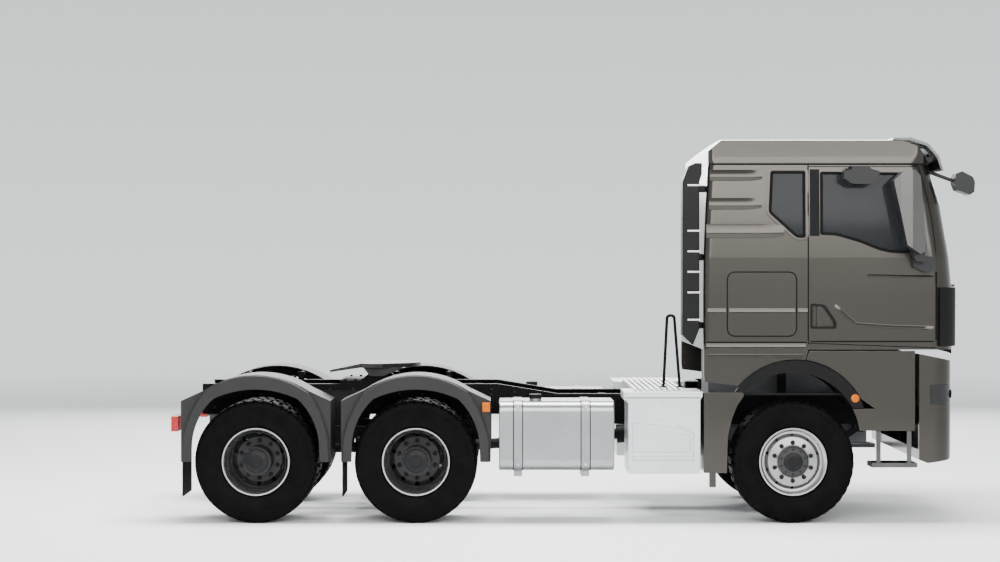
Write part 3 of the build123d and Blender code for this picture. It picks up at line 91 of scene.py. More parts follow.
# %% Floor and world
def add_node(tree, kind, inputs, **settings):
    """A shader node: an input that is given a socket is linked to it, any other is set."""
    node = tree.nodes.new(f"ShaderNode{kind}")
    for setting, value in settings.items():
        setattr(node, setting, value)
    for socket, value in inputs.items():
        if isinstance(value, bpy.types.NodeSocket):
            tree.links.new(value, node.inputs[socket])
        else:
            node.inputs[socket].default_value = value
    return node


backdrop_colour = (1.25, 1.31, 1.33, 1)
overhead_colour = (0.42, 0.43, 0.44, 1)
floor_colour = (0.86, 0.87, 0.875, 1)
fade_from, fade_to = 5.0, 30.0
bpy.ops.mesh.primitive_grid_add(x_subdivisions=4, y_subdivisions=4, size=160, location=(0, 0, 0))
floor = bpy.context.object
floor.name = "studio_floor"
floor_material = bpy.data.materials.new("studio_floor")
floor_material.use_nodes = True
tree = floor_material.node_tree
near_floor = tree.nodes["Principled BSDF"]
near_floor.inputs["Base Color"].default_value = floor_colour
near_floor.inputs["Roughness"].default_value = 0.9
near_floor.inputs["Specular IOR Level"].default_value = 0.1
far_floor = add_node(tree, "Emission", {"Color": backdrop_colour})
place = add_node(tree, "TexCoord", {})
distance = add_node(tree, "VectorMath", {0: place.outputs["Object"]}, operation="LENGTH")
fade = add_node(tree, "MapRange", {"From Min": fade_from, "From Max": fade_to,
                                   "Value": distance.outputs["Value"]}, interpolation_type="SMOOTHSTEP")
sweep = add_node(tree, "MixShader", {"Fac": fade.outputs["Result"], 1: near_floor.outputs[0],
                                     2: far_floor.outputs[0]})
tree.links.new(sweep.outputs[0], tree.nodes["Material Output"].inputs["Surface"])
floor.data.materials.append(floor_material)

world = bpy.data.worlds.new("studio")
bpy.context.scene.world = world
world.use_nodes = True
tree = world.node_tree
direction = add_node(tree, "TexCoord", {})
height = add_node(tree, "SeparateXYZ", {0: direction.outputs["Generated"]})
ramp = add_node(tree, "ValToRGB", {"Fac": height.outputs["Z"]})
ramp.color_ramp.elements[0].color = backdrop_colour
ramp.color_ramp.elements[1].color = overhead_colour
ramp.color_ramp.elements[1].position = 0.45
tree.links.new(ramp.outputs["Color"], tree.nodes["Background"].inputs["Color"])

# %% [markdown]
# Soft lights: one large one overhead for roofs, decks and the shadow below the vehicle, and a long
# strip high up on each side. The upper panels of the cab lean in and so mirror a
# strip, while the upright panels below the belt line mirror the plain wall under it. That is why a
# painted side looks light above its crease and darker below it.

# %% Lights
soft_lights = (
    # name, place, size across, size along, watts, aim
    ("overhead", (-0.4, -0.6, 10.0), 9.0, 4.0, 3400, (-0.4, 0, 0)),
    ("strip_right", (0.5, -13.0, 6.6), 20.0, 6.2, 3000, (0.5, 0, 2.4)),
    ("strip_left", (0.5, 13.0, 6.6), 20.0, 6.2, 3000, (0.5, 0, 2.4)),
)
for light_name, place, across, along, watts, aim in soft_lights:
    bpy.ops.object.light_add(type="AREA", location=place)
    light = bpy.context.object
    light.name = light_name
    light.data.shape = "RECTANGLE"
    light.data.size = across
    light.data.size_y = along
    light.data.energy = watts
    light.visible_camera = False
    light.rotation_euler = (Vector(aim) - Vector(place)).to_track_quat("-Z", "Y").to_euler()
print(len(soft_lights), "lights")

# %% [markdown]
# Every finish is a small node tree on object coordinates, so its pattern keeps its scale on each
# piece. One helper lays out what they share: a colour that drifts a little, a roughness that
# varies, and a fine bump. What makes each finish itself is in the table after it.

# %% Finish helper
materials = {}


def finish(name, colour, roughness, metallic=0.0, drift=0.08, drift_scale=3.0, rough_drift=0.08,
           grain=0.0, grain_scale=300.0, stretch=(1, 1, 1), coat=0.0, coat_roughness=0.05,
           transmission=0.0, specular=0.5, emission=0.0):
    """A material whose colour, roughness and bump vary with the place on the object."""
    made = bpy.data.materials.new(name)
    made.use_nodes = True
    tree = made.node_tree
    shader = tree.nodes["Principled BSDF"]
    place = add_node(tree, "TexCoord", {}).outputs["Object"]
    mapping = add_node(tree, "Mapping", {"Scale": stretch, "Vector": place})

    cloud = add_node(tree, "TexNoise", {"Scale": drift_scale, "Detail": 4, "Vector": place})
    tone = add_node(tree, "ValToRGB", {"Fac": cloud.outputs["Fac"]})
    for element, position, share in zip(tone.color_ramp.elements, (0.35, 0.65), (1 - drift, 1 + drift)):
        element.position = position
        element.color = (*[min(1, c * share) for c in colour], 1)
    tree.links.new(tone.outputs["Color"], shader.inputs["Base Color"])

    fine = add_node(tree, "TexNoise", {"Scale": grain_scale, "Detail": 3,
                                       "Vector": mapping.outputs["Vector"]})
    rough = add_node(tree, "MapRange", {"To Min": max(0.02, roughness - rough_drift),
                                        "To Max": min(1, roughness + rough_drift),
                                        "Value": fine.outputs["Fac"]})
    tree.links.new(rough.outputs["Result"], shader.inputs["Roughness"])
    if grain:
        bump = add_node(tree, "Bump", {"Strength": grain, "Distance": 0.001, "Height": fine.outputs["Fac"]})
        tree.links.new(bump.outputs["Normal"], shader.inputs["Normal"])
    shader.inputs["Metallic"].default_value = metallic
    shader.inputs["Coat Weight"].default_value = coat
    shader.inputs["Coat Roughness"].default_value = coat_roughness
    shader.inputs["Transmission Weight"].default_value = transmission
    shader.inputs["Specular IOR Level"].default_value = specular
    if emission:
        shader.inputs["Emission Color"].default_value = (*colour, 1)
        shader.inputs["Emission Strength"].default_value = emission
    made.diffuse_color = (*colour, 1)
    materials[name] = made
    return made


# %% [markdown]
# Paints, castings, plastics and metals. The body's taupe is a metallic basecoat under clear
# lacquer, so it is part metal with a smooth coat. Plastic fenders have a grain that catches light.
# The tank is drawn aluminium: its noise is squeezed so that it runs along the tank as fine lines.

# %% Finishes
finish("body_paint", (0.046, 0.042, 0.036), 0.25, metallic=0.85, drift=0.03, drift_scale=1.4,
       rough_drift=0.04, grain=0.02, grain_scale=900, coat=0.25, coat_roughness=0.05)
finish("frame_black", (0.005, 0.005, 0.0053), 0.42, specular=0.03, drift=0.25,
       drift_scale=6, grain=0.15, grain_scale=180)
finish("axle_black", (0.007, 0.007, 0.0075), 0.55, specular=0.10, drift=0.3,
       drift_scale=9, grain=0.5, grain_scale=140)
finish("engine_grey", (0.10, 0.105, 0.11), 0.6, metallic=0.3, drift=0.2, grain=0.4, grain_scale=90)
finish("tank_aluminium", (0.30, 0.307, 0.313), 0.30, metallic=1.0, drift=0.05, rough_drift=0.12,
       grain=0.12, grain_scale=60, stretch=(0.6, 14, 14))
finish("strap_steel", (0.26, 0.262, 0.266), 0.38, metallic=0.9, drift=0.1, grain=0.1, grain_scale=200)
finish("box_silver", (0.58, 0.60, 0.61), 0.36, metallic=0.35, drift=0.03, grain=0.03, grain_scale=700,
       coat=0.3, coat_roughness=0.15)
finish("deck_aluminium", (0.72, 0.73, 0.74), 0.36, metallic=0.6, drift=0.06, grain=0.15, grain_scale=160)
finish("fender_plastic", (0.018, 0.018, 0.0175), 0.46, specular=0.16, drift=0.06, grain=0.35, grain_scale=420)
finish("mudflap_rubber", (0.008, 0.008, 0.008), 0.65, specular=0.08, drift=0.2, grain=0.3, grain_scale=220)
finish("trim_black", (0.008, 0.008, 0.008), 0.45, specular=0.05, drift=0.08, grain=0.3, grain_scale=420)
finish("step_steel", (0.06, 0.06, 0.062), 0.5, metallic=0.6, drift=0.2, grain=0.3, grain_scale=160)
finish("plate_steel", (0.012, 0.012, 0.0125), 0.40, metallic=0.5, drift=0.35, drift_scale=7,
       rough_drift=0.15, grain=0.3, grain_scale=60)
finish("visor_black", (0.012, 0.012, 0.013), 0.18, drift=0.05, coat=0.5)
finish("mirror_plastic", (0.014, 0.014, 0.0145), 0.40, specular=0.2, drift=0.05, grain=0.12, grain_scale=500)
finish("seat_fabric", (0.05, 0.05, 0.055), 0.9, drift=0.2, drift_scale=30, grain=0.8, grain_scale=350)
finish("dash_plastic", (0.04, 0.04, 0.043), 0.65, drift=0.1, grain=0.4, grain_scale=420)
finish("intake_black", (0.006, 0.006, 0.0063), 0.38, specular=0.12, drift=0.15, grain=0.25, grain_scale=260)
finish("tyre_rubber", (0.0028, 0.0028, 0.0029), 0.50, specular=0.025, drift=0.22,
       drift_scale=8, grain=0.35, grain_scale=240)
finish("rim_silver", (0.60, 0.61, 0.62), 0.30, metallic=0.8, drift=0.05, grain=0.05, grain_scale=400)
finish("lamp_red", (0.34, 0.004, 0.004), 0.15, drift=0.1, drift_scale=60, coat=0.4, emission=0.02)
finish("lamp_amber", (0.42, 0.095, 0.001), 0.25, specular=0.1, drift=0.1, drift_scale=60, coat=0.1)
finish("lamp_clear", (0.22, 0.23, 0.24), 0.08, metallic=0.6, drift=0.08, drift_scale=12, coat=1.0)
finish("lamp_dark", (0.010, 0.010, 0.011), 0.12, specular=0.3, drift=0.2, drift_scale=40, coat=0.3)
finish("mirror_glass", (0.75, 0.77, 0.79), 0.04, metallic=1.0, drift=0.01, rough_drift=0.02)
finish("bolt_zinc", (0.50, 0.50, 0.50), 0.35, metallic=0.9, drift=0.2, drift_scale=80)
finish("hub_black", (0.009, 0.009, 0.0095), 0.42, specular=0.12, drift=0.2,
       drift_scale=20, grain=0.2, grain_scale=200)
finish("mirror_cap", (0.085, 0.084, 0.081), 0.34, metallic=0.5, drift=0.04, grain=0.06, grain_scale=500)
finish("seal_black", (0.004, 0.004, 0.004), 0.6, specular=0.05, drift=0.1)
finish("window_glass", (0.022, 0.024, 0.026), 0.04, drift=0.05, transmission=0.30)
materials["window_glass"].node_tree.nodes["Principled BSDF"].inputs["IOR"].default_value = 1.2
print(len(materials), "finishes")

# %% [markdown]
# The exact nodes keep their meshes. Each takes the finish that its material slot names, and its
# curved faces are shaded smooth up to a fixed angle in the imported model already.

# %% Dress the exact nodes
for part in frame["record"]["subparts"]:
    node = nodes[part["node"]]
    node.data.materials.clear()
    node.data.materials.append(materials[part["material_slot"]])

# %% [markdown]
# Modelling starts with nothing selected, because an operator acts on all that is selected. A
# profile is started as a circle with as many corners as the profile needs, and its corners are
# moved to the measured points. Faces are picked in code by where they are and how they face.

# %% Helpers: a clean start, a profile, a pick
axle_height = 0.538
axle_x = {"front": 1.911, "mid": -1.389, "rear": -2.789}


def start_clean():
    """Leave edit mode and select nothing."""
    if bpy.context.object and bpy.context.object.mode != "OBJECT":
        bpy.ops.object.mode_set(mode="OBJECT")
    bpy.ops.object.select_all(action="DESELECT")


def take_up(piece):
    """Make one piece the only selected and active object."""
    start_clean()
    piece.select_set(True)
    bpy.context.view_layer.objects.active = piece


def edit_all(piece):
    """Enter edit mode on one piece with all of it selected."""
    take_up(piece)
    bpy.ops.object.mode_set(mode="EDIT")
    bpy.ops.mesh.select_all(action="SELECT")


def leave_edit():
    """Go back to object mode."""
    bpy.ops.object.mode_set(mode="OBJECT")


def profile_loop(name, points, fill="NOTHING"):
    """A circle whose corners are moved onto the given points."""
    start_clean()
    bpy.ops.mesh.primitive_circle_add(vertices=len(points), radius=1, fill_type=fill, location=(0, 0, 0))
    loop = bpy.context.object
    loop.name = name
    for corner, point in zip(loop.data.vertices, points):
        corner.co = point
    return loop


def pick(piece, test, kind="FACE"):
    """In edit mode, select just the faces (or edges) whose centre and normal pass the test."""
    take_up(piece)
    bpy.ops.object.mode_set(mode="EDIT")
    bpy.ops.mesh.select_mode(type=kind)
    bpy.ops.mesh.select_all(action="DESELECT")
    leave_edit()
    chosen = 0
    if kind == "FACE":
        for face in piece.data.polygons:
            face.select = test(face.center, face.normal)
            chosen += face.select
    else:
        points = piece.data.vertices
        for edge in piece.data.edges:
            a, b = (points[i].co for i in edge.vertices)
            edge.select = test((a + b) / 2, (b - a).normalized())
            chosen += edge.select
    bpy.ops.object.mode_set(mode="EDIT")
    return chosen


def done(piece, material, body, smooth_angle=35, stands_for=()):
    """Shade a finished piece with flat faces kept flat, give it its finish and its body."""
    take_up(piece)
    bpy.ops.object.shade_smooth_by_angle(angle=math.radians(smooth_angle))
    if smooth_angle < 90:
        even = piece.modifiers.new("even", "WEIGHTED_NORMAL")
        even.keep_sharp = True
        bpy.ops.object.modifier_apply(modifier=even.name)
    piece.data.materials.clear()
    piece.data.materials.append(materials[material])
    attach(piece, body)
    if stands_for:
        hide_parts(*stands_for)
    return piece


def apply_all(piece):
    """Apply every modifier on a piece, in order."""
    take_up(piece)
    for modifier in list(piece.modifiers):
        bpy.ops.object.modifier_apply(modifier=modifier.name)


def join(pieces, name):
    """Several meshes as one object."""
    start_clean()
    for piece in pieces:
        piece.select_set(True)
    bpy.context.view_layer.objects.active = pieces[0]
    if len(pieces) > 1:
        bpy.ops.object.join()
    pieces[0].name = name
    return pieces[0]


def settle(piece):
    """Put a piece's place into its mesh, so that its object is at the origin."""
    take_up(piece)
    bpy.ops.object.transform_apply(location=True, rotation=True, scale=True)


def copy_of(piece, name):
    """A copy with its own mesh."""
    twin = piece.copy()
    twin.data = piece.data.copy()
    twin.name = name
    twin.hide_viewport = twin.hide_render = False
    bpy.context.collection.objects.link(twin)
    return twin


def other_side(piece, name):
    """The same piece mirrored to the vehicle's left, its faces turned outwards again."""
    twin = copy_of(piece, name)
    twin.parent = None
    twin.matrix_world = Matrix.Identity(4)
    edit_all(twin)
    bpy.ops.transform.resize(value=(1, -1, 1), center_override=(0, 0, 0))
    bpy.ops.mesh.flip_normals()
    leave_edit()
    return twin


def both_sides(piece, material, body, smooth_angle=35, stands_for=()):
    """Finish a right-hand piece and its mirrored twin on the left."""
    twin = other_side(piece, piece.name.replace("right", "left"))
    for one, side in ((piece, "right"), (twin, "left")):
        done(one, material, body.replace("right", side), smooth_angle,
             [name.replace("right", side) for name in stands_for])


def grid(name, steps, rows):
    """A flat sheet of faces, two units across, whose corners are then moved into place."""
    start_clean()
    bpy.ops.mesh.primitive_grid_add(x_subdivisions=steps, y_subdivisions=rows, size=2, location=(0, 0, 0))
    sheet = bpy.context.object
    sheet.name = name
    return sheet


def block(name, low, high):
    """A block between two corners, with its place and size in its mesh."""
    start_clean()
    low, high = Vector(low), Vector(high)
    bpy.ops.mesh.primitive_cube_add(size=1, location=(low + high) / 2)
    made = bpy.context.object
    made.name = name
    made.scale = high - low
    settle(made)
    return made


def press_faces(piece, test, *steps):
    """Inset the faces that pass the test, once for each (thickness, depth)."""
    pick(piece, test)
    for thickness, depth in steps:
        bpy.ops.mesh.inset(thickness=thickness, depth=depth)
    leave_edit()


def beside(path, share, offset):
    """A point at a share of a path's legs, moved across the path by a distance."""
    along = share * (len(path) - 1)
    leg = min(int(along), len(path) - 2)
    start, end = Vector(path[leg]), Vector(path[leg + 1])
    across = Vector((-(end - start).y, (end - start).x)).normalized()
    return start.lerp(end, along - leg) + across * offset


# %% [markdown]
# A truck tyre is a body of revolution with a moulded tread. Its section is a loop of points:
# bead, a raised ring above the rim, the bulged wall, a scuff rib, the shoulder and a crown cut by
# three grooves. Spinning the loop about the axle makes the tyre, and a look at the photograph's
# front tyre gives about forty blocks round the shoulder, so every third strip is sunk between them.

# %% One tyre
tyre_blocks = 40
tyre_steps = tyre_blocks * 3


def tyre_section(width):
    """(offset from the tyre's middle, radius) of one tyre, outboard side first."""
    half = width / 2
    wall = [
        (0.40 * width, 0.2843), (0.40 * width, 0.3005), (0.425 * width, 0.312), (0.437 * width, 0.316),
        (0.440 * width, 0.327), (0.450 * width, 0.338), (0.486 * width, 0.375), (half - 0.001, 0.400),
        (half, 0.430), (half - 0.001, 0.452), (half - 0.004, 0.457), (half - 0.0045, 0.476),
        (half - 0.001, 0.480), (half - 0.005, 0.505), (half - 0.012, 0.520), (half - 0.026, 0.532),
        (half - 0.058, 0.5365),
    ]
    grooves = []
    for middle in (0.54 * half, 0.0):
        if middle:
            grooves += [(middle + 0.007, 0.538), (middle + 0.004, 0.525), (middle - 0.004, 0.525),
                        (middle - 0.007, 0.538)]
        else:
            grooves += [(0.006, 0.538), (0.003, 0.526)]
    side = wall + grooves
    return side + [(-offset, radius) for offset, radius in reversed(side)]


def make_tyre(name, x, middle, width):
    """Spin the section about the axle and sink the gaps between the shoulder blocks."""
    tyre = profile_loop(name, [(x, middle + offset, axle_height + radius)
                               for offset, radius in tyre_section(width)])
    edit_all(tyre)
    bpy.ops.mesh.spin(steps=tyre_steps, angle=2 * math.pi, center=(x, 0, axle_height), axis=(0, 1, 0))
    bpy.ops.mesh.select_all(action="SELECT")
    bpy.ops.mesh.remove_doubles(threshold=0.00005)
    bpy.ops.mesh.normals_make_consistent(inside=False)
    step = 2 * math.pi / tyre_steps

    def gap_between_blocks(centre, normal):
        """Whether a face lies between two tread blocks."""
        radius = math.hypot(centre.x - x, centre.z - axle_height)
        strip = int(((math.atan2(centre.z - axle_height, centre.x - x) % (2 * math.pi)) / step))
        offset = abs(centre.y - middle)
        on_shoulder = radius > 0.503 and offset > 0.3 * width
        on_rib = radius > 0.53 and 0.02 < offset < 0.22 * width
        return (on_shoulder and strip % 3 == 0) or (on_rib and strip % 3 == 1)

    pick(tyre, gap_between_blocks)
    bpy.ops.mesh.inset(thickness=0.0012, depth=-0.009, use_boundary=True)
    leave_edit()
    return tyre


front_tyre_y, twin_tyre_y = 1.0425, (0.7275, 1.0775)
front_tyre = make_tyre("tyre_front_right_tread", axle_x["front"], -front_tyre_y, 0.385)
print("front tyre", len(front_tyre.data.polygons), "faces")

# %% [markdown]
# The steered wheels carry one wide tyre each and the driven wheels carry twins. The first tyre of
# each width is made once, and the others are copies with their own meshes, moved along or across.

# %% All ten tyres
def moved_copy(piece, name, offset):
    """A copy whose mesh is shifted."""
    twin = copy_of(piece, name)
    edit_all(twin)
    bpy.ops.transform.translate(value=offset)
    leave_edit()
    return twin


outer_twin = make_tyre("outer_twin", axle_x["mid"], -twin_tyre_y[1], 0.315)
tyres = {"front": front_tyre}
inner_twin = moved_copy(outer_twin, "inner_twin", (0, twin_tyre_y[1] - twin_tyre_y[0], 0))
tyres["mid"] = join([outer_twin, inner_twin], "tyre_mid_right_tread")
tyres["rear"] = moved_copy(tyres["mid"], "tyre_rear_right_tread", (axle_x["rear"] - axle_x["mid"], 0, 0))
for axle, tyre in tyres.items():
    both_sides(tyre, "tyre_rubber", f"{axle}_wheel_right", 28, [f"tyre_{axle}_right"])

# %% [markdown]
# Rims are steel pressings with a bright outer lip. The finish is chosen by the distance from the axle,
# which a Mapping node centres on each axle, so one material holds lip, dish and hub. On the driven
# wheels the dish is coloured near black together with the hub: painted shade of the deep dish. On
# the steered wheels the dish is light. The slightly darker band on the slope inside the lip and the
# dark grey ring round the hand holes are painted shade.

# %% Rim finishes
def rim_finish(name, axle, bands):
    """Bands of (outer radius, colour, metallic, roughness) about one axle, from the hub out."""
    made = finish(name, (0.6, 0.6, 0.6), 0.3, metallic=0.8, grain=0.04, grain_scale=400)
    tree = made.node_tree
    shader = tree.nodes["Principled BSDF"]
    place = add_node(tree, "TexCoord", {})
    centred = add_node(tree, "Mapping", {"Location": (-axle_x[axle], 0, -axle_height),
                                         "Vector": place.outputs["Object"]})
    flat = add_node(tree, "VectorMath", {0: centred.outputs["Vector"], 1: (2, 0, 2)}, operation="MULTIPLY")
    radius = add_node(tree, "VectorMath", {0: flat.outputs["Vector"]}, operation="LENGTH")
    for socket, values in (("Base Color", [(*band[1], 1) for band in bands]),
                           ("Metallic", [(band[2],) * 3 + (1,) for band in bands]),
                           ("Roughness", [(band[3],) * 3 + (1,) for band in bands])):
        steps = add_node(tree, "ValToRGB", {"Fac": radius.outputs["Value"]})
        steps.color_ramp.interpolation = "CONSTANT"
        steps.color_ramp.elements[0].color = values[0]
        steps.color_ramp.elements.remove(steps.color_ramp.elements[1])
        for band, value in zip(bands, values[1:]):
            steps.color_ramp.elements.new(2 * band[0]).color = value
        tree.links.new(steps.outputs["Color"], shader.inputs[socket])


bright, light, dark = (0.38, 0.38, 0.38), (0.27, 0.27, 0.265), (0.010, 0.010, 0.011)
# Steered rim: the band out to 0.246 m round the hand holes and the band out to 0.264 m on the slope inside
# the lip are painted shade.
rim_finish("rim_steered", "front", [
    (0.137, dark, 0.2, 0.4), (0.214, light, 0.75, 0.32), (0.246, (0.12, 0.12, 0.12), 0.6, 0.45),
    (0.264, (0.34, 0.34, 0.34), 0.8, 0.35), (0.5, bright, 0.95, 0.22)])
# Driven rims: the dark band out to 0.241 m is the black hub plus painted shade over the deep dish.
for axle in ("mid", "rear"):
    rim_finish(f"rim_driven_{axle}", axle, [
        (0.241, dark, 0.2, 0.45), (0.258, (0.24, 0.24, 0.24), 0.9, 0.3), (0.5, bright, 0.95, 0.22)])
for axle in axle_x:
    rim_material = materials["rim_steered" if axle == "front" else f"rim_driven_{axle}"]
    for side in ("right", "left"):
        nodes[f"rim_{axle}_{side}"].data.materials.clear()
        nodes[f"rim_{axle}_{side}"].data.materials.append(rim_material)

# %% [markdown]
# Ten wheel nuts stand on a 335 mm circle, each a hexagon on a round washer with a stud through it.
# The hub of each wheel has a ring of small bolts and a stepped cap.

# %% Nuts, hub bolts and caps
def round_bar(name, corners, radius, depth, place, bevel=0.0):
    """A short bar along Y with bevelled outer edge: a nut has six corners, a washer many."""
    start_clean()
    bpy.ops.mesh.primitive_cylinder_add(vertices=corners, radius=radius, depth=depth,
                                        location=place, rotation=(math.pi / 2, 0, 0))
    bar = bpy.context.object
    bar.name = name
    settle(bar)
    if bevel:
        outboard = place[1] - depth / 2
        pick(bar, lambda centre, normal: centre.y < outboard + 0.0005 and abs(normal.y) < 0.5, "EDGE")
        bpy.ops.mesh.bevel(offset=bevel, segments=2)
        leave_edit()
    return bar


def ring_of(make_one, count, circle, x):
    """Copies of a small piece round an axle."""
    copies = []
    for index in range(count):
        angle = 2 * math.pi * index / count + math.pi / count
        copies.append(make_one((x + circle * math.cos(angle), axle_height + circle * math.sin(angle))))
    return copies


def faces_out(centre, normal):
    """Whether a face looks away from the vehicle's right side."""
    return normal.y < -0.9


def wheel_nut(spot, face_y, size):
    """A hexagon on a washer, with the end of its stud showing."""
    x, z = spot
    washer = round_bar("washer", 16, size * 1.25, 0.006, (x, face_y - 0.003, z), 0.001)
    nut = round_bar("nut", 6, size, 0.020, (x, face_y - 0.014, z), 0.003)
    stud = round_bar("stud", 10, size * 0.5, 0.012, (x, face_y - 0.028, z), 0.001)
    return join([washer, nut, stud], "nut")


wheel_studs, stud_circle, nut_size = 10, 0.1675, 0.016
# nut plane, hub plane, hub bolt circle, cap radius, cap plane
steered_face = (-1.184, -1.214, 0.108, 0.066, -1.211)
driven_face = (-0.915, -1.160, 0.114, 0.084, -1.182)
for axle, x in axle_x.items():
    nut_y, hub_y, bolt_circle, cap_radius, cap_y = steered_face if axle == "front" else driven_face
    nuts = join(ring_of(lambda spot: wheel_nut(spot, nut_y, nut_size), wheel_studs, stud_circle, x),
                f"wheel_nuts_{axle}_right")
    hub = ring_of(lambda spot: round_bar("bolt", 6, 0.010, 0.012, (spot[0], hub_y, spot[1]), 0.002),
                  wheel_studs, bolt_circle, x)
    cap = round_bar("cap", 40, cap_radius, 0.022, (x, cap_y - 0.004, axle_height), 0.008)
    press_faces(cap, faces_out, (cap_radius * 0.35, 0.004), (cap_radius * 0.12, -0.005))
    hub = join([*hub, cap], f"hub_cap_{axle}_right")
    for piece in (nuts, hub):
        both_sides(piece, "hub_black", f"{axle}_wheel_right")
print("wheels done")

# %% [markdown]
# The side of the cab is not flat: it is widest at the belt line and leans in above it. Seals, trims
# and creases follow it, so their points are given along and up the vehicle, and the distance out
# is read off the cab's own sections. A band is two outlines of as many points joined by faces.

# %% The cab's side, and bands that follow it
cab_side = ((1.520, 1.218), (2.040, 1.221), (2.325, 1.221), (2.792, 1.207), (3.150, 1.190), (3.300, 1.128))


def side_y(z, lift=0.0):
    """Distance of the cab's right side from the middle at a height, negative as it is on the right."""
    z = min(max(z, cab_side[0][0]), cab_side[-1][0])
    for (low, low_half), (high, high_half) in zip(cab_side, cab_side[1:]):
        if z <= high:
            return -(low_half + (high_half - low_half) * (z - low) / (high - low) + lift)


def corners_of(outline):
    """Each corner of a closed outline with the one before it and the one after it."""
    return zip(outline[-1:] + outline[:-1], outline, outline[1:] + outline[:1])


def shrunk(outline, by):
    """An outline in (x, z) moved inwards by a distance, corner by corner."""
    area = sum(a[0] * b[1] - b[0] * a[1] for a, b in zip(outline, outline[1:] + outline[:1]))
    turn = 1 if area > 0 else -1
    moved = []
    for before, corner, after in corners_of(outline):
        edge_in = Vector((corner[0] - before[0], corner[1] - before[1])).normalized()
        edge_out = Vector((after[0] - corner[0], after[1] - corner[1])).normalized()
        normal_in = Vector((-edge_in.y, edge_in.x)) * turn
        normal_out = Vector((-edge_out.y, edge_out.x)) * turn
        middle = (normal_in + normal_out).normalized()
        reach = by / max(middle.dot(normal_in), 0.35)
        moved.append((corner[0] + middle.x * reach, corner[1] + middle.y * reach))
    return moved


def rounded(outline, radius, steps=4):
    """An outline with each corner swapped for a short curve."""
    curve = []
    for before, corner, after in corners_of(outline):
        here = Vector(corner)
        towards_before, towards_after = Vector(before) - here, Vector(after) - here
        cut = min(radius, towards_before.length * 0.45, towards_after.length * 0.45)
        start = here + towards_before.normalized() * cut
        end = here + towards_after.normalized() * cut
        for step in range(steps + 1):
            t = step / steps
            curve.append(tuple(start * (1 - t) ** 2 + here * 2 * t * (1 - t) + end * t ** 2))
    return curve


def turn_faces_out(piece):
    """Point every face of a piece outwards."""
    edit_all(piece)
    bpy.ops.mesh.normals_make_consistent(inside=False)
    leave_edit()


def thicken(piece, thickness, bevel=0.0):
    """Give a sheet a thickness outwards and soften its edges."""
    turn_faces_out(piece)
    solid = piece.modifiers.new("solid", "SOLIDIFY")
    solid.thickness = thickness
    solid.offset = 0
    if bevel:
        soft = piece.modifiers.new("soft", "BEVEL")
        soft.width, soft.segments, soft.limit_method = bevel, 2, "ANGLE"
        soft.angle_limit = math.radians(50)
    apply_all(piece)
    turn_faces_out(piece)
    return piece


def side_band(name, outline, width, lift, thickness, bevel=0.002, place=side_y):
    """A closed band of even width just inside an outline on the cab's side."""
    loops = [profile_loop(f"{name}_{part}", [(x, place(z, lift), z) for x, z in points])
             for part, points in (("outer", outline), ("inner", shrunk(outline, width)))]
    band = join(loops, name)
    edit_all(band)
    bpy.ops.mesh.bridge_edge_loops()
    leave_edit()
    return thicken(band, thickness, bevel)


def side_strip(name, path, width, lift, thickness, bevel=0.002, place=side_y):
    """An open strip of even width along a path on the cab's side, such as a crease or a seam."""
    upper, lower = [], []
    for index, point in enumerate(path):
        ahead = Vector(path[min(index + 1, len(path) - 1)]) - Vector(path[max(index - 1, 0)])
        across = Vector((-ahead.y, ahead.x)).normalized() * width / 2
        upper.append((point[0] + across.x, point[1] + across.y))
        lower.append((point[0] - across.x, point[1] - across.y))
    outline = upper + lower[::-1]
    strip = profile_loop(name, [(x, place(z, lift), z) for x, z in outline], "NGON")
    return thicken(strip, thickness, bevel)


def side_relief(name, path, width, rows, steps=24, thickness=0.003, taper=0.0):
    """A pressed form along a path on the cab's side: rows of (share of the width down, lift)."""
    relief = grid(name, steps, len(rows) - 1)
    for corner in relief.data.vertices:
        share = (corner.co.x + 1) / 2
        down, lift = rows[round((1 - corner.co.y) / 2 * (len(rows) - 1))]
        spot = beside(path, share, width * (0.5 - down))
        fade = min(1, (1 - share) / taper, share / taper) if taper else 1
        corner.co = (spot.x, side_y(spot.y, 0.001 + lift * fade), spot.y)
    return thicken(relief, thickness)


crease_rows = ((0.0, 0.0), (0.15, 0.001), (0.72, 0.009), (0.86, 0.008), (1.0, 0.0))
flat_rows = ((0.0, 0.0), (1.0, 0.0))


# %% [markdown]
# Glass in a cab door sits in a black rubber channel, and a black pillar trim fills the strip
# between the door glass and the fixed pane behind it. The fixed pane has a pressed metal surround
# that catches the light.

# %% Window seals and the pillar trim
door_window = [(2.152, 3.072), (2.152, 2.530), (2.283, 2.525), (2.388, 2.495), (2.493, 2.464),
               (2.667, 2.394), (2.764, 2.373), (2.868, 2.368), (3.052, 2.390), (2.925, 3.064)]
quarter_window = [(1.719, 3.078), (2.012, 3.078), (2.012, 2.504), (1.942, 2.504), (1.702, 2.722)]
for name, outline, outwards, corner, width, thickness, bevel, material, body, slot in (
    ("door_seal_right", door_window, 0.006, 0.022, 0.024, 0.008, 0.002,
     "seal_black", "right_door", "trim_black"),
    ("quarter_seal_right", quarter_window, 0.006, 0.022, 0.024, 0.008, 0.002,
     "seal_black", "cab", "trim_black"),
    ("quarter_trim_right", quarter_window, 0.034, 0.05, 0.026, 0.006, 0.0025,
     "body_paint", "cab", "body_paint"),
):
    band = side_band(name, rounded(shrunk(outline, -outwards), corner), width, 0.001, thickness, bevel)
    both_sides(band, material, body)
pillar = side_relief("pillar_trim_right", ((2.098, 2.514), (2.098, 3.098)), 0.084, flat_rows, 12, 0.004)
both_sides(pillar, "trim_black", "right_door")
print("window seals and pillar trims")

# %% [markdown]
# Pressed creases stiffen the big flat panels. The door has one that falls from the handle and
# then runs level to the front edge; the panel behind the door has two level ribs that carry on
# over the locker lid; and a dark gutter runs below the roof. Each is a low strip with soft edges.

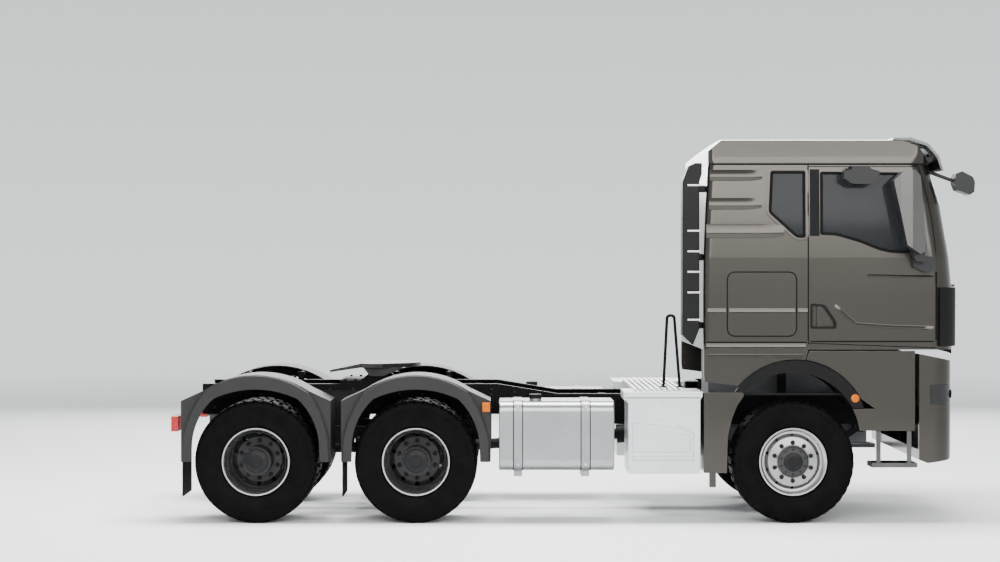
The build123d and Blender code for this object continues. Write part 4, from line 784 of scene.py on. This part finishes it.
# %% Creases, ribs and the gutter
door_crease = [(2.274, 1.909), (2.458, 1.743), (2.760, 1.722), (3.140, 1.711)]
crease = side_relief("door_crease_right", door_crease, 0.030, crease_rows, 36, taper=0.06)
both_sides(crease, "body_paint", "right_door")
rib_height = 1.862
for name, span, body in (("rear_rib_right", ((1.160, rib_height), (1.322, rib_height)), "cab"),
                         ("locker_rib_right", ((1.350, rib_height), (1.925, rib_height)), "right_locker"),
                         ("pillar_rib_right", ((1.950, rib_height), (2.036, rib_height)), "cab")):
    rib = side_relief(name, span, 0.038, crease_rows)
    both_sides(rib, "body_paint", body)
gutter = side_relief("gutter_right", ((1.195, 3.142), (3.060, 3.142)), 0.014, flat_rows, 24, 0.004)
both_sides(gutter, "seal_black", "cab")

# %% [markdown]
# The locker lid closes on a rubber seal that shows as a dark line all round it, and the door
# handle sits in a black moulded frame round its pocket.

# %% Locker seal and handle frame
locker_edge = rounded([(1.335, 2.198), (1.938, 2.198), (1.938, 1.639), (1.335, 1.639)], 0.074, 6)
locker_seal = side_band("locker_seal_right", shrunk(locker_edge, -0.006), 0.010, 0.0005, 0.002, 0.0)
both_sides(locker_seal, "seal_black", "cab")
handle_pocket = [(2.075, 1.909), (2.180, 1.900), (2.274, 1.760), (2.274, 1.717), (2.075, 1.717)]
handle_frame = side_band("handle_frame_right", rounded(shrunk(handle_pocket, -0.014), 0.02),
                         0.018, 0.001, 0.008, 0.003)
both_sides(handle_frame, "trim_black", "right_door")
print("creases, gutter, seals and handle frames")

# %% [markdown]
# No pressed or moulded panel has a knife edge: sheet is folded over a radius of a few millimetres
# and mouldings are rounded so that they leave the tool. A copy of each exact solid is merged into
# one skin, its flat stretches are cleared of needless edges, and its sharp edges are bevelled. The
# small rounding is what catches the light along every panel.

# %% Softened panels
slot_of = {part["node"]: part["material_slot"] for part in frame["record"]["subparts"]}
body_of = {name: node["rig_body"] if "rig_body" in node else node.parent.name for name, node in nodes.items()}


def merged_copy(name, stem):
    """A copy of an exact node as one clean skin, free of its body."""
    skin = copy_of(nodes[name], stem)
    skin.parent = None
    skin.matrix_world = Matrix.Identity(4)
    edit_all(skin)
    bpy.ops.mesh.remove_doubles(threshold=0.00002)
    bpy.ops.mesh.dissolve_limited(angle_limit=math.radians(0.4))
    leave_edit()
    return skin


def soften(skin, radius, segments):
    """Round the edges of a skin where its faces meet at more than 35 degrees."""
    edge = skin.modifiers.new("edge", "BEVEL")
    edge.width, edge.segments, edge.limit_method = radius, segments, "ANGLE"
    edge.angle_limit = math.radians(35)
    edge.miter_outer = "MITER_ARC"
    apply_all(skin)
    return skin


panel_edges = {
    # node: (edge radius in metres, segments)
    "cab_roof": (0.006, 2), "front_flap": (0.004, 2), "bumper": (0.006, 2), "entry_panels": (0.004, 2),
    "wheel_arches": (0.005, 2), "front_mirror": (0.008, 2), "mirror_right": (0.010, 3),
    "mirror_left": (0.010, 3), "sun_visor": (0.005, 2), "air_intake": (0.010, 2),
    "side_boxes": (0.005, 2), "step_frames": (0.003, 2), "fifth_wheel_plate": (0.004, 2),
    "locker_lid_right": (0.003, 2), "locker_lid_left": (0.003, 2), "front_mudguards": (0.003, 2),
    "mudflaps": (0.002, 1), "tank_straps": (0.002, 1), "deck_grating": (0.002, 1),
}
for name, (radius, segments) in panel_edges.items():
    skin = soften(merged_copy(name, f"{name}_skin"), radius, segments)
    done(skin, slot_of[name], body_of[name], 40, [name])
    print(name, len(skin.data.polygons), "faces, grown by",
          [round(1000 * (s - n), 1) for s, n in zip(skin.dimensions, nodes[name].dimensions)])

# %% [markdown]
# A driver's seat is foam in a fabric cover: a pad that is crowned and pulled in at its edges, a
# back that leans, and a headrest. The cover of pad and back is sewn in channels. Each cushion starts as a
# slightly small block with rounded edges, is remeshed evenly, and is then blown up as cloth with a
# little air in it, no point moving more than 10 mm, or 6 mm on a headrest. Channels are sunk afterwards,
# because remeshing would close them. The seat's pedestal below stays hard.

# %% Cushions
def cushion(name, low, high, rounding, voxel, cap, tilt=0.0):
    """A padded block between two corners, swollen by pressure and leaned back by an angle."""
    pad = block(name, low, high)
    edge = pad.modifiers.new("edge", "BEVEL")
    edge.width, edge.segments = rounding, 4
    even = pad.modifiers.new("even", "REMESH")
    even.mode, even.voxel_size = "VOXEL", voxel
    apply_all(pad)
    bpy.ops.object.origin_set(type="ORIGIN_CURSOR")
    start = [point.co.copy() for point in pad.data.vertices]
    cloth = pad.modifiers.new("cloth", "CLOTH")
    cloth.settings.use_pressure = True
    cloth.settings.uniform_pressure_force = 4
    cloth.settings.effector_weights.gravity = 0
    cloth.point_cache.frame_start, cloth.point_cache.frame_end = 1, 20
    for step in range(1, 21):
        bpy.context.scene.frame_set(step)
    apply_all(pad)
    bpy.context.scene.frame_set(1)
    for point, before in zip(pad.data.vertices, start):
        shift = point.co - before
        if shift.length > cap:
            point.co = before + shift.normalized() * cap
    if tilt:
        edit_all(pad)
        bpy.ops.transform.rotate(value=tilt, orient_axis="Y",
                                center_override=(Vector(low) + Vector(high)) / 2)
        leave_edit()
    return pad


def sew_channels(pad, stations, width, depth):
    """Sink narrow lines across a pad: (axis, place) for each one."""
    for axis, station in stations:
        pick(pad, lambda centre, normal: abs(centre[axis] - station) < width)
        bpy.ops.transform.shrink_fatten(value=-depth)
        bpy.ops.mesh.select_all(action="SELECT")
        leave_edit()
    return pad


def finish_pad(pad, stands_for):
    """Cover a pad in fabric, give it the cab as its body and hide the exact parts it stands for."""
    done(pad, "seat_fabric", "cab", 180, stands_for)


def hard_base(name, stem, cut_height):
    """The part of an exact node below a height, closed where it is cut."""
    base = merged_copy(name, stem)
    edit_all(base)
    bpy.ops.mesh.bisect(plane_co=(0, 0, cut_height), plane_no=(0, 0, 1), clear_outer=True, use_fill=True)
    leave_edit()
    return soften(base, 0.006, 2)


seat_y, seat_half = 0.600, 0.246
pad_low_z, pad_high_z = 1.915, 2.050
for side, middle in (("right", -seat_y), ("left", seat_y)):
    pad = cushion(f"seat_pad_{side}", (2.200, middle - seat_half, pad_low_z),
                  (2.700, middle + seat_half, pad_high_z), 0.035, 0.014, 0.010)
    pad_channels = [(0, 2.36), (0, 2.53), (1, middle - 0.15), (1, middle + 0.15)]
    finish_pad(sew_channels(pad, pad_channels, 0.008, 0.005), ["seats"])
    back = cushion(f"seat_back_{side}", (2.045, middle - seat_half, 2.050),
                   (2.165, middle + seat_half, 2.650), 0.040, 0.014, 0.010, tilt=-0.12)
    finish_pad(sew_channels(back, [(2, 2.22), (2, 2.38), (2, 2.54)], 0.008, 0.005), ["seats"])
    rest = cushion(f"headrest_{side}", (1.995, middle - 0.135, 2.690), (2.085, middle + 0.135, 2.880),
                   0.030, 0.012, 0.006, tilt=-0.08)
    finish_pad(rest, ["seats"])
pedestals = hard_base("seats", "seat_pedestals", 1.905)
done(pedestals, "dash_plastic", "cab", 40, ["seats"])
mattress = cushion("bunk_mattress", (1.203, -1.118, 1.998), (1.892, 1.118, 2.118), 0.035, 0.022, 0.010)
finish_pad(sew_channels(mattress, [(1, place) for place in (-0.75, -0.25, 0.25, 0.75)], 0.012, 0.005),
           ["bunk"])
bunk_base = hard_base("bunk", "bunk_base", 1.988)
done(bunk_base, "dash_plastic", "cab", 40, ["bunk"])
print("cushions, pedestals and bunk base")

# %% [markdown]
# A door mirror's housing is a black moulding with a painted shell clipped over its outer face. The
# outer faces of the softened housing are parted from it, so that they can have the paint.

# %% Painted mirror shells
mirror_shell_y, mirror_shell_low = 1.30, 2.44
for side, sign in (("right", -1), ("left", 1)):
    housing = bpy.data.objects[f"mirror_{side}_skin"]
    before = set(bpy.data.objects)
    pick(housing, lambda centre, normal: normal.y * sign > 0.45 and abs(centre.y) > mirror_shell_y
         and centre.z > mirror_shell_low and centre.x > 2.66)
    bpy.ops.mesh.separate(type="SELECTED")
    leave_edit()
    for shell in set(bpy.data.objects) - before:
        shell.name = f"mirror_shell_{side}"
        shell.data.materials.clear()
        shell.data.materials.append(materials["mirror_cap"])
print("mirror shells")

# %% [markdown]
# Amber side lamps are small lenses with a raised face: a square one on the fender of the second
# axle and a round one on the trim over the front wheel.

# %% Side lamps
def lens_block(name, low, high, bevel):
    """A lens between two corners, its outer face inset and raised in a few steps."""
    lens = block(name, low, high)
    narrow = min(high[0] - low[0], high[2] - low[2])
    press_faces(lens, faces_out, (narrow * 0.14, 0.0), (narrow * 0.06, 0.003))
    return soften(lens, bevel, 2)


square_lamp = lens_block("fender_lamp_right", (-0.807, -1.262, 0.979), (-0.740, -1.214, 1.060), 0.003)
both_sides(square_lamp, "lamp_amber", body_of["rear_fenders"])
round_lamp = round_bar("arch_lamp_right", 28, 0.036, 0.020, (2.447, -1.252, 1.097), 0.004)
press_faces(round_lamp, faces_out, (0.010, 0.0), (0.004, 0.003))
both_sides(round_lamp, "lamp_amber", body_of["wheel_arches"])

# %% [markdown]
# The tank hangs in two straps, each drawn tight by a bolt near its ends. The box before it is a
# pressing: a lid with a folded lip, a bead that frames its face and bolts near its upper and lower
# edges.

# %% Strap bolts and box face
def upright_disc(name, corners, radius, low, high, place):
    """A short cylinder standing up, with a softened upper edge."""
    start_clean()
    bpy.ops.mesh.primitive_cylinder_add(vertices=corners, radius=radius, depth=high - low,
                                        location=(place[0], place[1], (low + high) / 2))
    disc = bpy.context.object
    disc.name = name
    settle(disc)
    press_faces(disc, lambda centre, normal: normal.z > 0.9, (radius * 0.2, 0.003))
    return soften(disc, 0.002, 2)


side_bolts = []
strap_x, strap_heights = (-0.495, 0.095), (0.520, 1.015)
for x in strap_x:
    for z in strap_heights:
        side_bolts.append(round_bar("strap_bolt", 6, 0.013, 0.014, (x, -1.262, z), 0.003))
box_rear, box_front, box_low, box_high, box_face = 0.433, 1.109, 0.436, 1.151, -1.235
for x in (box_rear + 0.030, (box_rear + box_front) / 2, box_front - 0.030):
    for z in (box_low + 0.05, box_high - 0.085):
        side_bolts.append(round_bar("box_bolt", 6, 0.010, 0.010, (x, box_face - 0.004, z), 0.002))
side_bolts = join(side_bolts, "tank_and_box_bolts_right")
both_sides(side_bolts, "bolt_zinc", "chassis")


def box_place(z, lift):
    """Distance out of the box's upright face."""
    return box_face - lift


field_outline = [(0.478, 0.908), (0.860, 0.878), (0.915, 0.815), (1.038, 0.792), (1.038, 0.592),
                 (0.478, 0.592)]
box_bead = side_band("box_bead_right", rounded(field_outline, 0.040), 0.024, 0.000, 0.014, 0.005, box_place)
both_sides(box_bead, "box_silver", "chassis")
seam_z = box_high - 0.052
box_seam = side_strip("box_seam_right", ((box_rear + 0.004, seam_z), (box_front - 0.004, seam_z)),
                      0.006, 0.0, 0.003, 0.0, box_place)
both_sides(box_seam, "seal_black", "chassis")
box_lip = lens_block("box_lip_right", (box_rear - 0.006, box_face - 0.008, box_high - 0.045),
                     (box_front + 0.006, box_face + 0.004, box_high + 0.002), 0.003)
both_sides(box_lip, "box_silver", "chassis")

# %% [markdown]
# Between each strap and the tank lies a strip of rubber that is wider than the strap, so it shows
# as a dark line along both of its edges. It follows the tank's rounded section: up the face and
# round the two corners.

# %% Strap rubbers
tank_low, tank_high, tank_face, tank_corner = 0.462, 1.072, -1.250, 0.095
rubber_lift, rubber_width, rubber_offset = 0.0015, 0.009, 0.040


def tank_skin(share):
    """A point (y, z) on the tank's outer side, from under its lower corner to over its upper one."""
    centre_y, out = tank_face + tank_corner, tank_corner + rubber_lift
    if share < 0.3:
        turn = math.radians(90 * share / 0.3)
        return centre_y - out * math.sin(turn), tank_low + tank_corner - out * math.cos(turn)
    if share > 0.7:
        turn = math.radians(90 * (share - 0.7) / 0.3)
        return centre_y - out * math.cos(turn), tank_high - tank_corner + out * math.sin(turn)
    return tank_face - rubber_lift, tank_low + tank_corner + (share - 0.3) / 0.4 * (
        tank_high - tank_low - 2 * tank_corner)


rubbers = []
for x in (station + side * rubber_offset for station in strap_x for side in (-1, 1)):
    rubber = grid("rubber", 1, 20)
    for corner in rubber.data.vertices:
        y, z = tank_skin((corner.co.y + 1) / 2)
        corner.co = (x + corner.co.x * rubber_width / 2, y, z)
    rubbers.append(thicken(rubber, 0.002))
both_sides(join(rubbers, "strap_rubbers_right"), "seal_black", "chassis")

# %% [markdown]
# The filler cap is a black moulding that is gripped by hand, so every other stretch of its rim is
# sunk. It screws onto the neck on the tank's top.

# %% Filler caps
cap_spot, cap_low, cap_high, cap_grips = (-0.342, -1.080), 1.086, 1.123, 24
filler_cap = upright_disc("filler_cap_right", cap_grips, 0.056, cap_low, cap_high, cap_spot)
rim = math.tau / cap_grips


def sunk_grip(centre, normal):
    """Whether a face of the rim lies in a stretch that is sunk."""
    turn = math.atan2(centre.y - cap_spot[1], centre.x - cap_spot[0]) % math.tau
    return abs(normal.z) < 0.2 and int(turn / rim) % 2 == 0


pick(filler_cap, sunk_grip)
bpy.ops.mesh.inset(thickness=0.002, depth=-0.002, use_individual=True)
leave_edit()
both_sides(filler_cap, "trim_black", "chassis")

# %% [markdown]
# Frame rails are held together by rows of hexagon bolts. Three stand one below the other at an even
# pitch along the rail, where brackets and cross members would meet it. The rails drop
# behind the cab, so a row's height comes from the rail's own line.

# %% Rail bolts
rail_face_y = -0.430
rail_line = ((-3.360, 1.180), (-0.671, 1.180), (-0.124, 1.090), (3.000, 1.090))


def rail_top(x):
    """Height of the rail's upper edge at a station along the vehicle."""
    for (rear, rear_top), (front, front_top) in zip(rail_line, rail_line[1:]):
        if x <= front:
            return rear_top + (front_top - rear_top) * (x - rear) / (front - rear)


first_row, row_pitch, row_count = -3.25, 0.21, 18
rail_bolts = []
for index in range(row_count):
    x = first_row + index * row_pitch
    for drop in (0.050, 0.095, 0.215):
        place = (x, rail_face_y - 0.006, rail_top(x) - drop)
        rail_bolts.append(round_bar("rail_bolt", 6, 0.013, 0.012, place, 0.002))
both_sides(join(rail_bolts, "rail_bolts_right"), "hub_black", "chassis")

# %% [markdown]
# The nose is bowed and leans back, so pieces on it are laid onto the exact surface: a strip of
# faces is made, and each of its corners is dropped from in front onto the solid behind it.

# %% Strips laid onto the nose
from mathutils.bvhtree import BVHTree


def surface_of(name):
    """The faces of an exact node, ready to be hit by a ray."""
    mesh = nodes[name].data
    return BVHTree.FromPolygons([point.co for point in mesh.vertices],
                                [tuple(face.vertices) for face in mesh.polygons])


def nose_strip(name, surface, path, width, lift, thickness, bevel=0.002, steps=16):
    """A strip of even width along a path of (y, z) corners, lying on a surface that faces forwards."""
    strip = grid(name, steps, 1)
    for corner in strip.data.vertices:
        spot = beside(path, (corner.co.x + 1) / 2, width / 2 * corner.co.y)
        hit = surface.ray_cast(Vector((6, spot.x, spot.y)), Vector((-1, 0, 0)))[0]
        corner.co = (hit.x + lift, spot.x, spot.y)
    return thicken(strip, thickness, bevel)


flap_surface, bumper_surface = surface_of("front_flap"), surface_of("bumper")
grille_half, grille_heights = 0.86, (1.630, 1.715, 1.800, 1.885, 1.970)
bars = [nose_strip("bar", flap_surface, ((-grille_half, z), (grille_half, z)), 0.042, 0.008, 0.016, 0.004)
        for z in grille_heights]
done(join(bars, "grille_bars"), "visor_black", "front_panel")
lower_half, lower_heights = 0.56, (0.800, 0.870, 0.940, 1.010, 1.080)
intake_field = nose_strip("lower_grille_field", bumper_surface,
                          ((-lower_half - 0.04, 0.940), (lower_half + 0.04, 0.940)),
                          0.38, 0.002, 0.006, 0.002)
slats = [nose_strip("slat", bumper_surface, ((-lower_half, z), (lower_half, z)), 0.028, 0.010, 0.014, 0.003)
         for z in lower_heights]
done(join([intake_field, *slats], "lower_grille"), "trim_black", body_of["bumper"])
print("rail bolts, grille and lower grille")

# %% [markdown]
# Two wipers rest along the foot of the windscreen, each an arm on a pivot with a long rubber
# blade. The screen is bonded in with a black border.

# %% Wipers and the windscreen border
screen = surface_of("cab_glazing")
wipers = []
for pivot_y, tip_y in ((-0.80, -0.06), (0.10, 0.84)):
    middle = ((pivot_y + tip_y) / 2, 2.490)
    wipers.append(nose_strip("blade", screen, ((pivot_y + 0.02, 2.470), (tip_y, 2.505)),
                             0.014, 0.010, 0.018, 0.003))
    wipers.append(nose_strip("arm", screen, ((pivot_y, 2.438), middle), 0.020, 0.022, 0.010, 0.003))
    wipers.append(nose_strip("pivot", screen, ((pivot_y - 0.02, 2.438), (pivot_y + 0.02, 2.440)),
                             0.036, 0.012, 0.026, 0.004, 4))
done(join(wipers, "wipers"), "trim_black", "cab")
border_low, border_high, low_half, high_half = 2.445, 3.055, 1.020, 0.982
border_corners = [(-low_half, border_low), (low_half, border_low), (high_half, border_high),
                  (-high_half, border_high)]
border = [nose_strip("border", screen, path, 0.034, 0.001, 0.003, 0.001)
          for path in zip(border_corners, border_corners[1:] + border_corners[:1])]
done(join(border, "windscreen_border"), "seal_black", "cab")
print("wipers and border")

# %% [markdown]
# Rear lamps are long moulded lenses in sections: a clear field is the reversing light and an amber
# one the turn light. Here both lie 1 mm under the face of a red lens that lets no light through, so
# they don't show from outside.

# %% Rear lamp sections
lamp_low, lamp_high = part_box("tail_lamps")
lamp_sections = []
for inner, outer, material in ((0.715, 0.800, "lamp_clear"), (0.812, 0.930, "lamp_amber")):
    for side in (-1, 1):
        near, far = sorted((side * inner, side * outer))
        field = block(f"{material}_field_{'right' if side < 0 else 'left'}",
                      (lamp_low.x + 0.001, near, lamp_low.z + 0.015),
                      (lamp_low.x + 0.015, far, lamp_high.z - 0.015))
        press_faces(field, lambda centre, normal: normal.x < -0.9, (0.008, 0.0), (0.003, -0.002))
        lamp_sections.append(done(soften(field, 0.002, 2), material, body_of["tail_lamps"]))
print(len(lamp_sections), "rear lamp fields")

# %% [markdown]
# A headlamp is a dark chamber with bright projectors in its face, a larger one and a smaller one
# outboard of it. The chamber is a softened copy of the exact lamp block. Each projector is a dome: a
# ball is cut in half and pressed flat.

# %% Headlamps
chamber = soften(merged_copy("headlamps", "headlamp_chamber"), 0.004, 2)
done(chamber, "lamp_dark", body_of["headlamps"], 40, ["headlamps"])
lamp_spots = ((3.332, 0.965, 1.127, 0.052), (3.318, 1.085, 1.127, 0.040))
projectors = []
for lamp_x, lamp_y, lamp_z, lamp_radius in lamp_spots:
    for side in (-1, 1):
        start_clean()
        bpy.ops.mesh.primitive_uv_sphere_add(segments=32, ring_count=16, radius=lamp_radius,
                                             location=(0, 0, 0))
        dome = bpy.context.object
        edit_all(dome)
        bpy.ops.mesh.bisect(plane_co=(0, 0, 0), plane_no=(1, 0, 0), clear_inner=True, use_fill=True)
        bpy.ops.mesh.select_all(action="SELECT")
        bpy.ops.transform.resize(value=(0.35, 1, 1), center_override=(0, 0, 0))
        bpy.ops.transform.translate(value=(lamp_x - 0.006, side * lamp_y, lamp_z))
        leave_edit()
        projectors.append(dome)
projectors = join(projectors, "headlamp_projectors")
done(projectors, "lamp_clear", body_of["headlamps"], 60)
print("headlamps")

# %% [markdown]
# Three pressed strakes stiffen the panel behind the door. Each has a face that slopes outwards from
# its upper edge and a lower edge that turns back in, so its top looks light and its foot dark, and
# its forward end tapers away. A grid is laid over each and its rows are moved out by a short table.

# %% Strakes
strake_spans = ((1.182, 1.640, 3.000, 3.092), (1.172, 1.632, 2.748, 2.846), (1.150, 1.830, 2.500, 2.618))
strake_rows = ((0.00, 0.016), (0.25, 0.024), (0.62, 0.033), (0.80, 0.030), (1.00, 0.013))
strake_taper = 0.10
for index, (rear, front, low, high) in enumerate(strake_spans):
    strake = grid(f"strake_{index + 1}_right", 10, 4)
    for corner in strake.data.vertices:
        along, row = (corner.co.x + 1) / 2, round((1 - corner.co.y) * 2)
        down, lift = strake_rows[row]
        x = rear + along * (front - rear)
        fade = min(1, (front - x) / strake_taper)
        z = high - (high - low) * (down + (1 - fade) * (0.5 - down) * 0.3)
        corner.co = (x, side_y(z, 0.014 + (lift - 0.014) * fade), z)
    both_sides(thicken(strake, 0.004, 0.0), "body_paint", "cab")

# %% [markdown]
# Below the cab's floor line the skirt is a separate pressing. A shut line, a rounded bead under it
# and a crease lower down run along it. The door has a short pressed flute near the foot of the
# mirror, and dark shut lines run down its edges.

# %% Beads and shut lines
for name, span, width, rows, material, body in (
    ("skirt_bead_right", ((1.150, 1.556), (2.020, 1.556)), 0.034, crease_rows, "body_paint", "cab"),
    ("sill_line_right", ((1.150, 1.584), (2.030, 1.584)), 0.012, flat_rows, "seal_black", "cab"),
    ("door_flute_right", ((2.560, 2.172), (3.130, 2.158)), 0.026, crease_rows, "body_paint", "right_door"),
    ("skirt_crease_right", ((1.165, 1.466), (2.000, 1.466)), 0.030, crease_rows, "body_paint", "cab"),
    ("door_shut_right", ((2.0415, 1.600), (2.0415, 3.140)), 0.011, flat_rows, "seal_black", "cab"),
    ("nose_shut_right", ((3.162, 1.600), (3.162, 2.200)), 0.010, flat_rows, "seal_black", "cab"),
    ("door_foot_right", ((2.062, 1.592), (3.140, 1.592)), 0.012, flat_rows, "seal_black", "right_door"),
):
    bead = side_relief(name, span, width, rows)
    both_sides(bead, material, body)
print("strakes, beads and shut lines")

# %% [markdown]
# A rubber apron hangs from the cab's front edge and closes the slot above the bumper, so that spray
# doesn't come up through it. It is a strip laid onto the cab's nose and stretched downwards.

# %% Nose apron
apron_half, apron_top, apron_width, apron_stretch = 1.04, 1.546, 0.020, 3.4
apron = nose_strip("nose_apron", surface_of("cab_shell"),
                   ((-apron_half, apron_top - apron_width / 2), (apron_half, apron_top - apron_width / 2)),
                   apron_width, 0.001, 0.003, 0.0)
edit_all(apron)
bpy.ops.transform.resize(value=(1, 1, apron_stretch), center_override=(0, 0, apron_top))
leave_edit()
done(apron, "seal_black", "cab")

# %% [markdown]
# Behind the cab the intake column carries clips that hold its duct, seen in the photograph as
# short light bars across it.

# %% Intake clips
clip_heights = (1.780, 2.020, 2.200, 2.380, 2.560, 2.960)
intake_low, intake_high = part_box("air_intake")
clip_size = Vector((0.115, 0.012, 0.016))
clips = []
for z in clip_heights:
    centre = Vector(((intake_low.x + intake_high.x) / 2 - 0.006, intake_low.y - 0.002, z))
    clip = block("clip", centre - clip_size / 2, centre + clip_size / 2)
    clips.append(soften(clip, 0.003, 2))
done(join(clips, "intake_clips"), "bolt_zinc", body_of["air_intake"])

# %% [markdown]
# The coupling's base plate is bolted to the frame with rows of large flanged bolts, set clear of
# the plate that pitches above it.

# %% Coupling bolts
coupling_x, base_top = -1.780, 1.210
bolts = [upright_disc("base_bolt", 6, 0.014, base_top - 0.002, base_top + 0.012,
                      (coupling_x + offset, side * 0.385))
         for side in (-1, 1) for offset in (-0.28, -0.19, 0.19, 0.28)]
done(join(bolts, "coupling_bolts"), "hub_black", "chassis")
print("clips and coupling bolts")
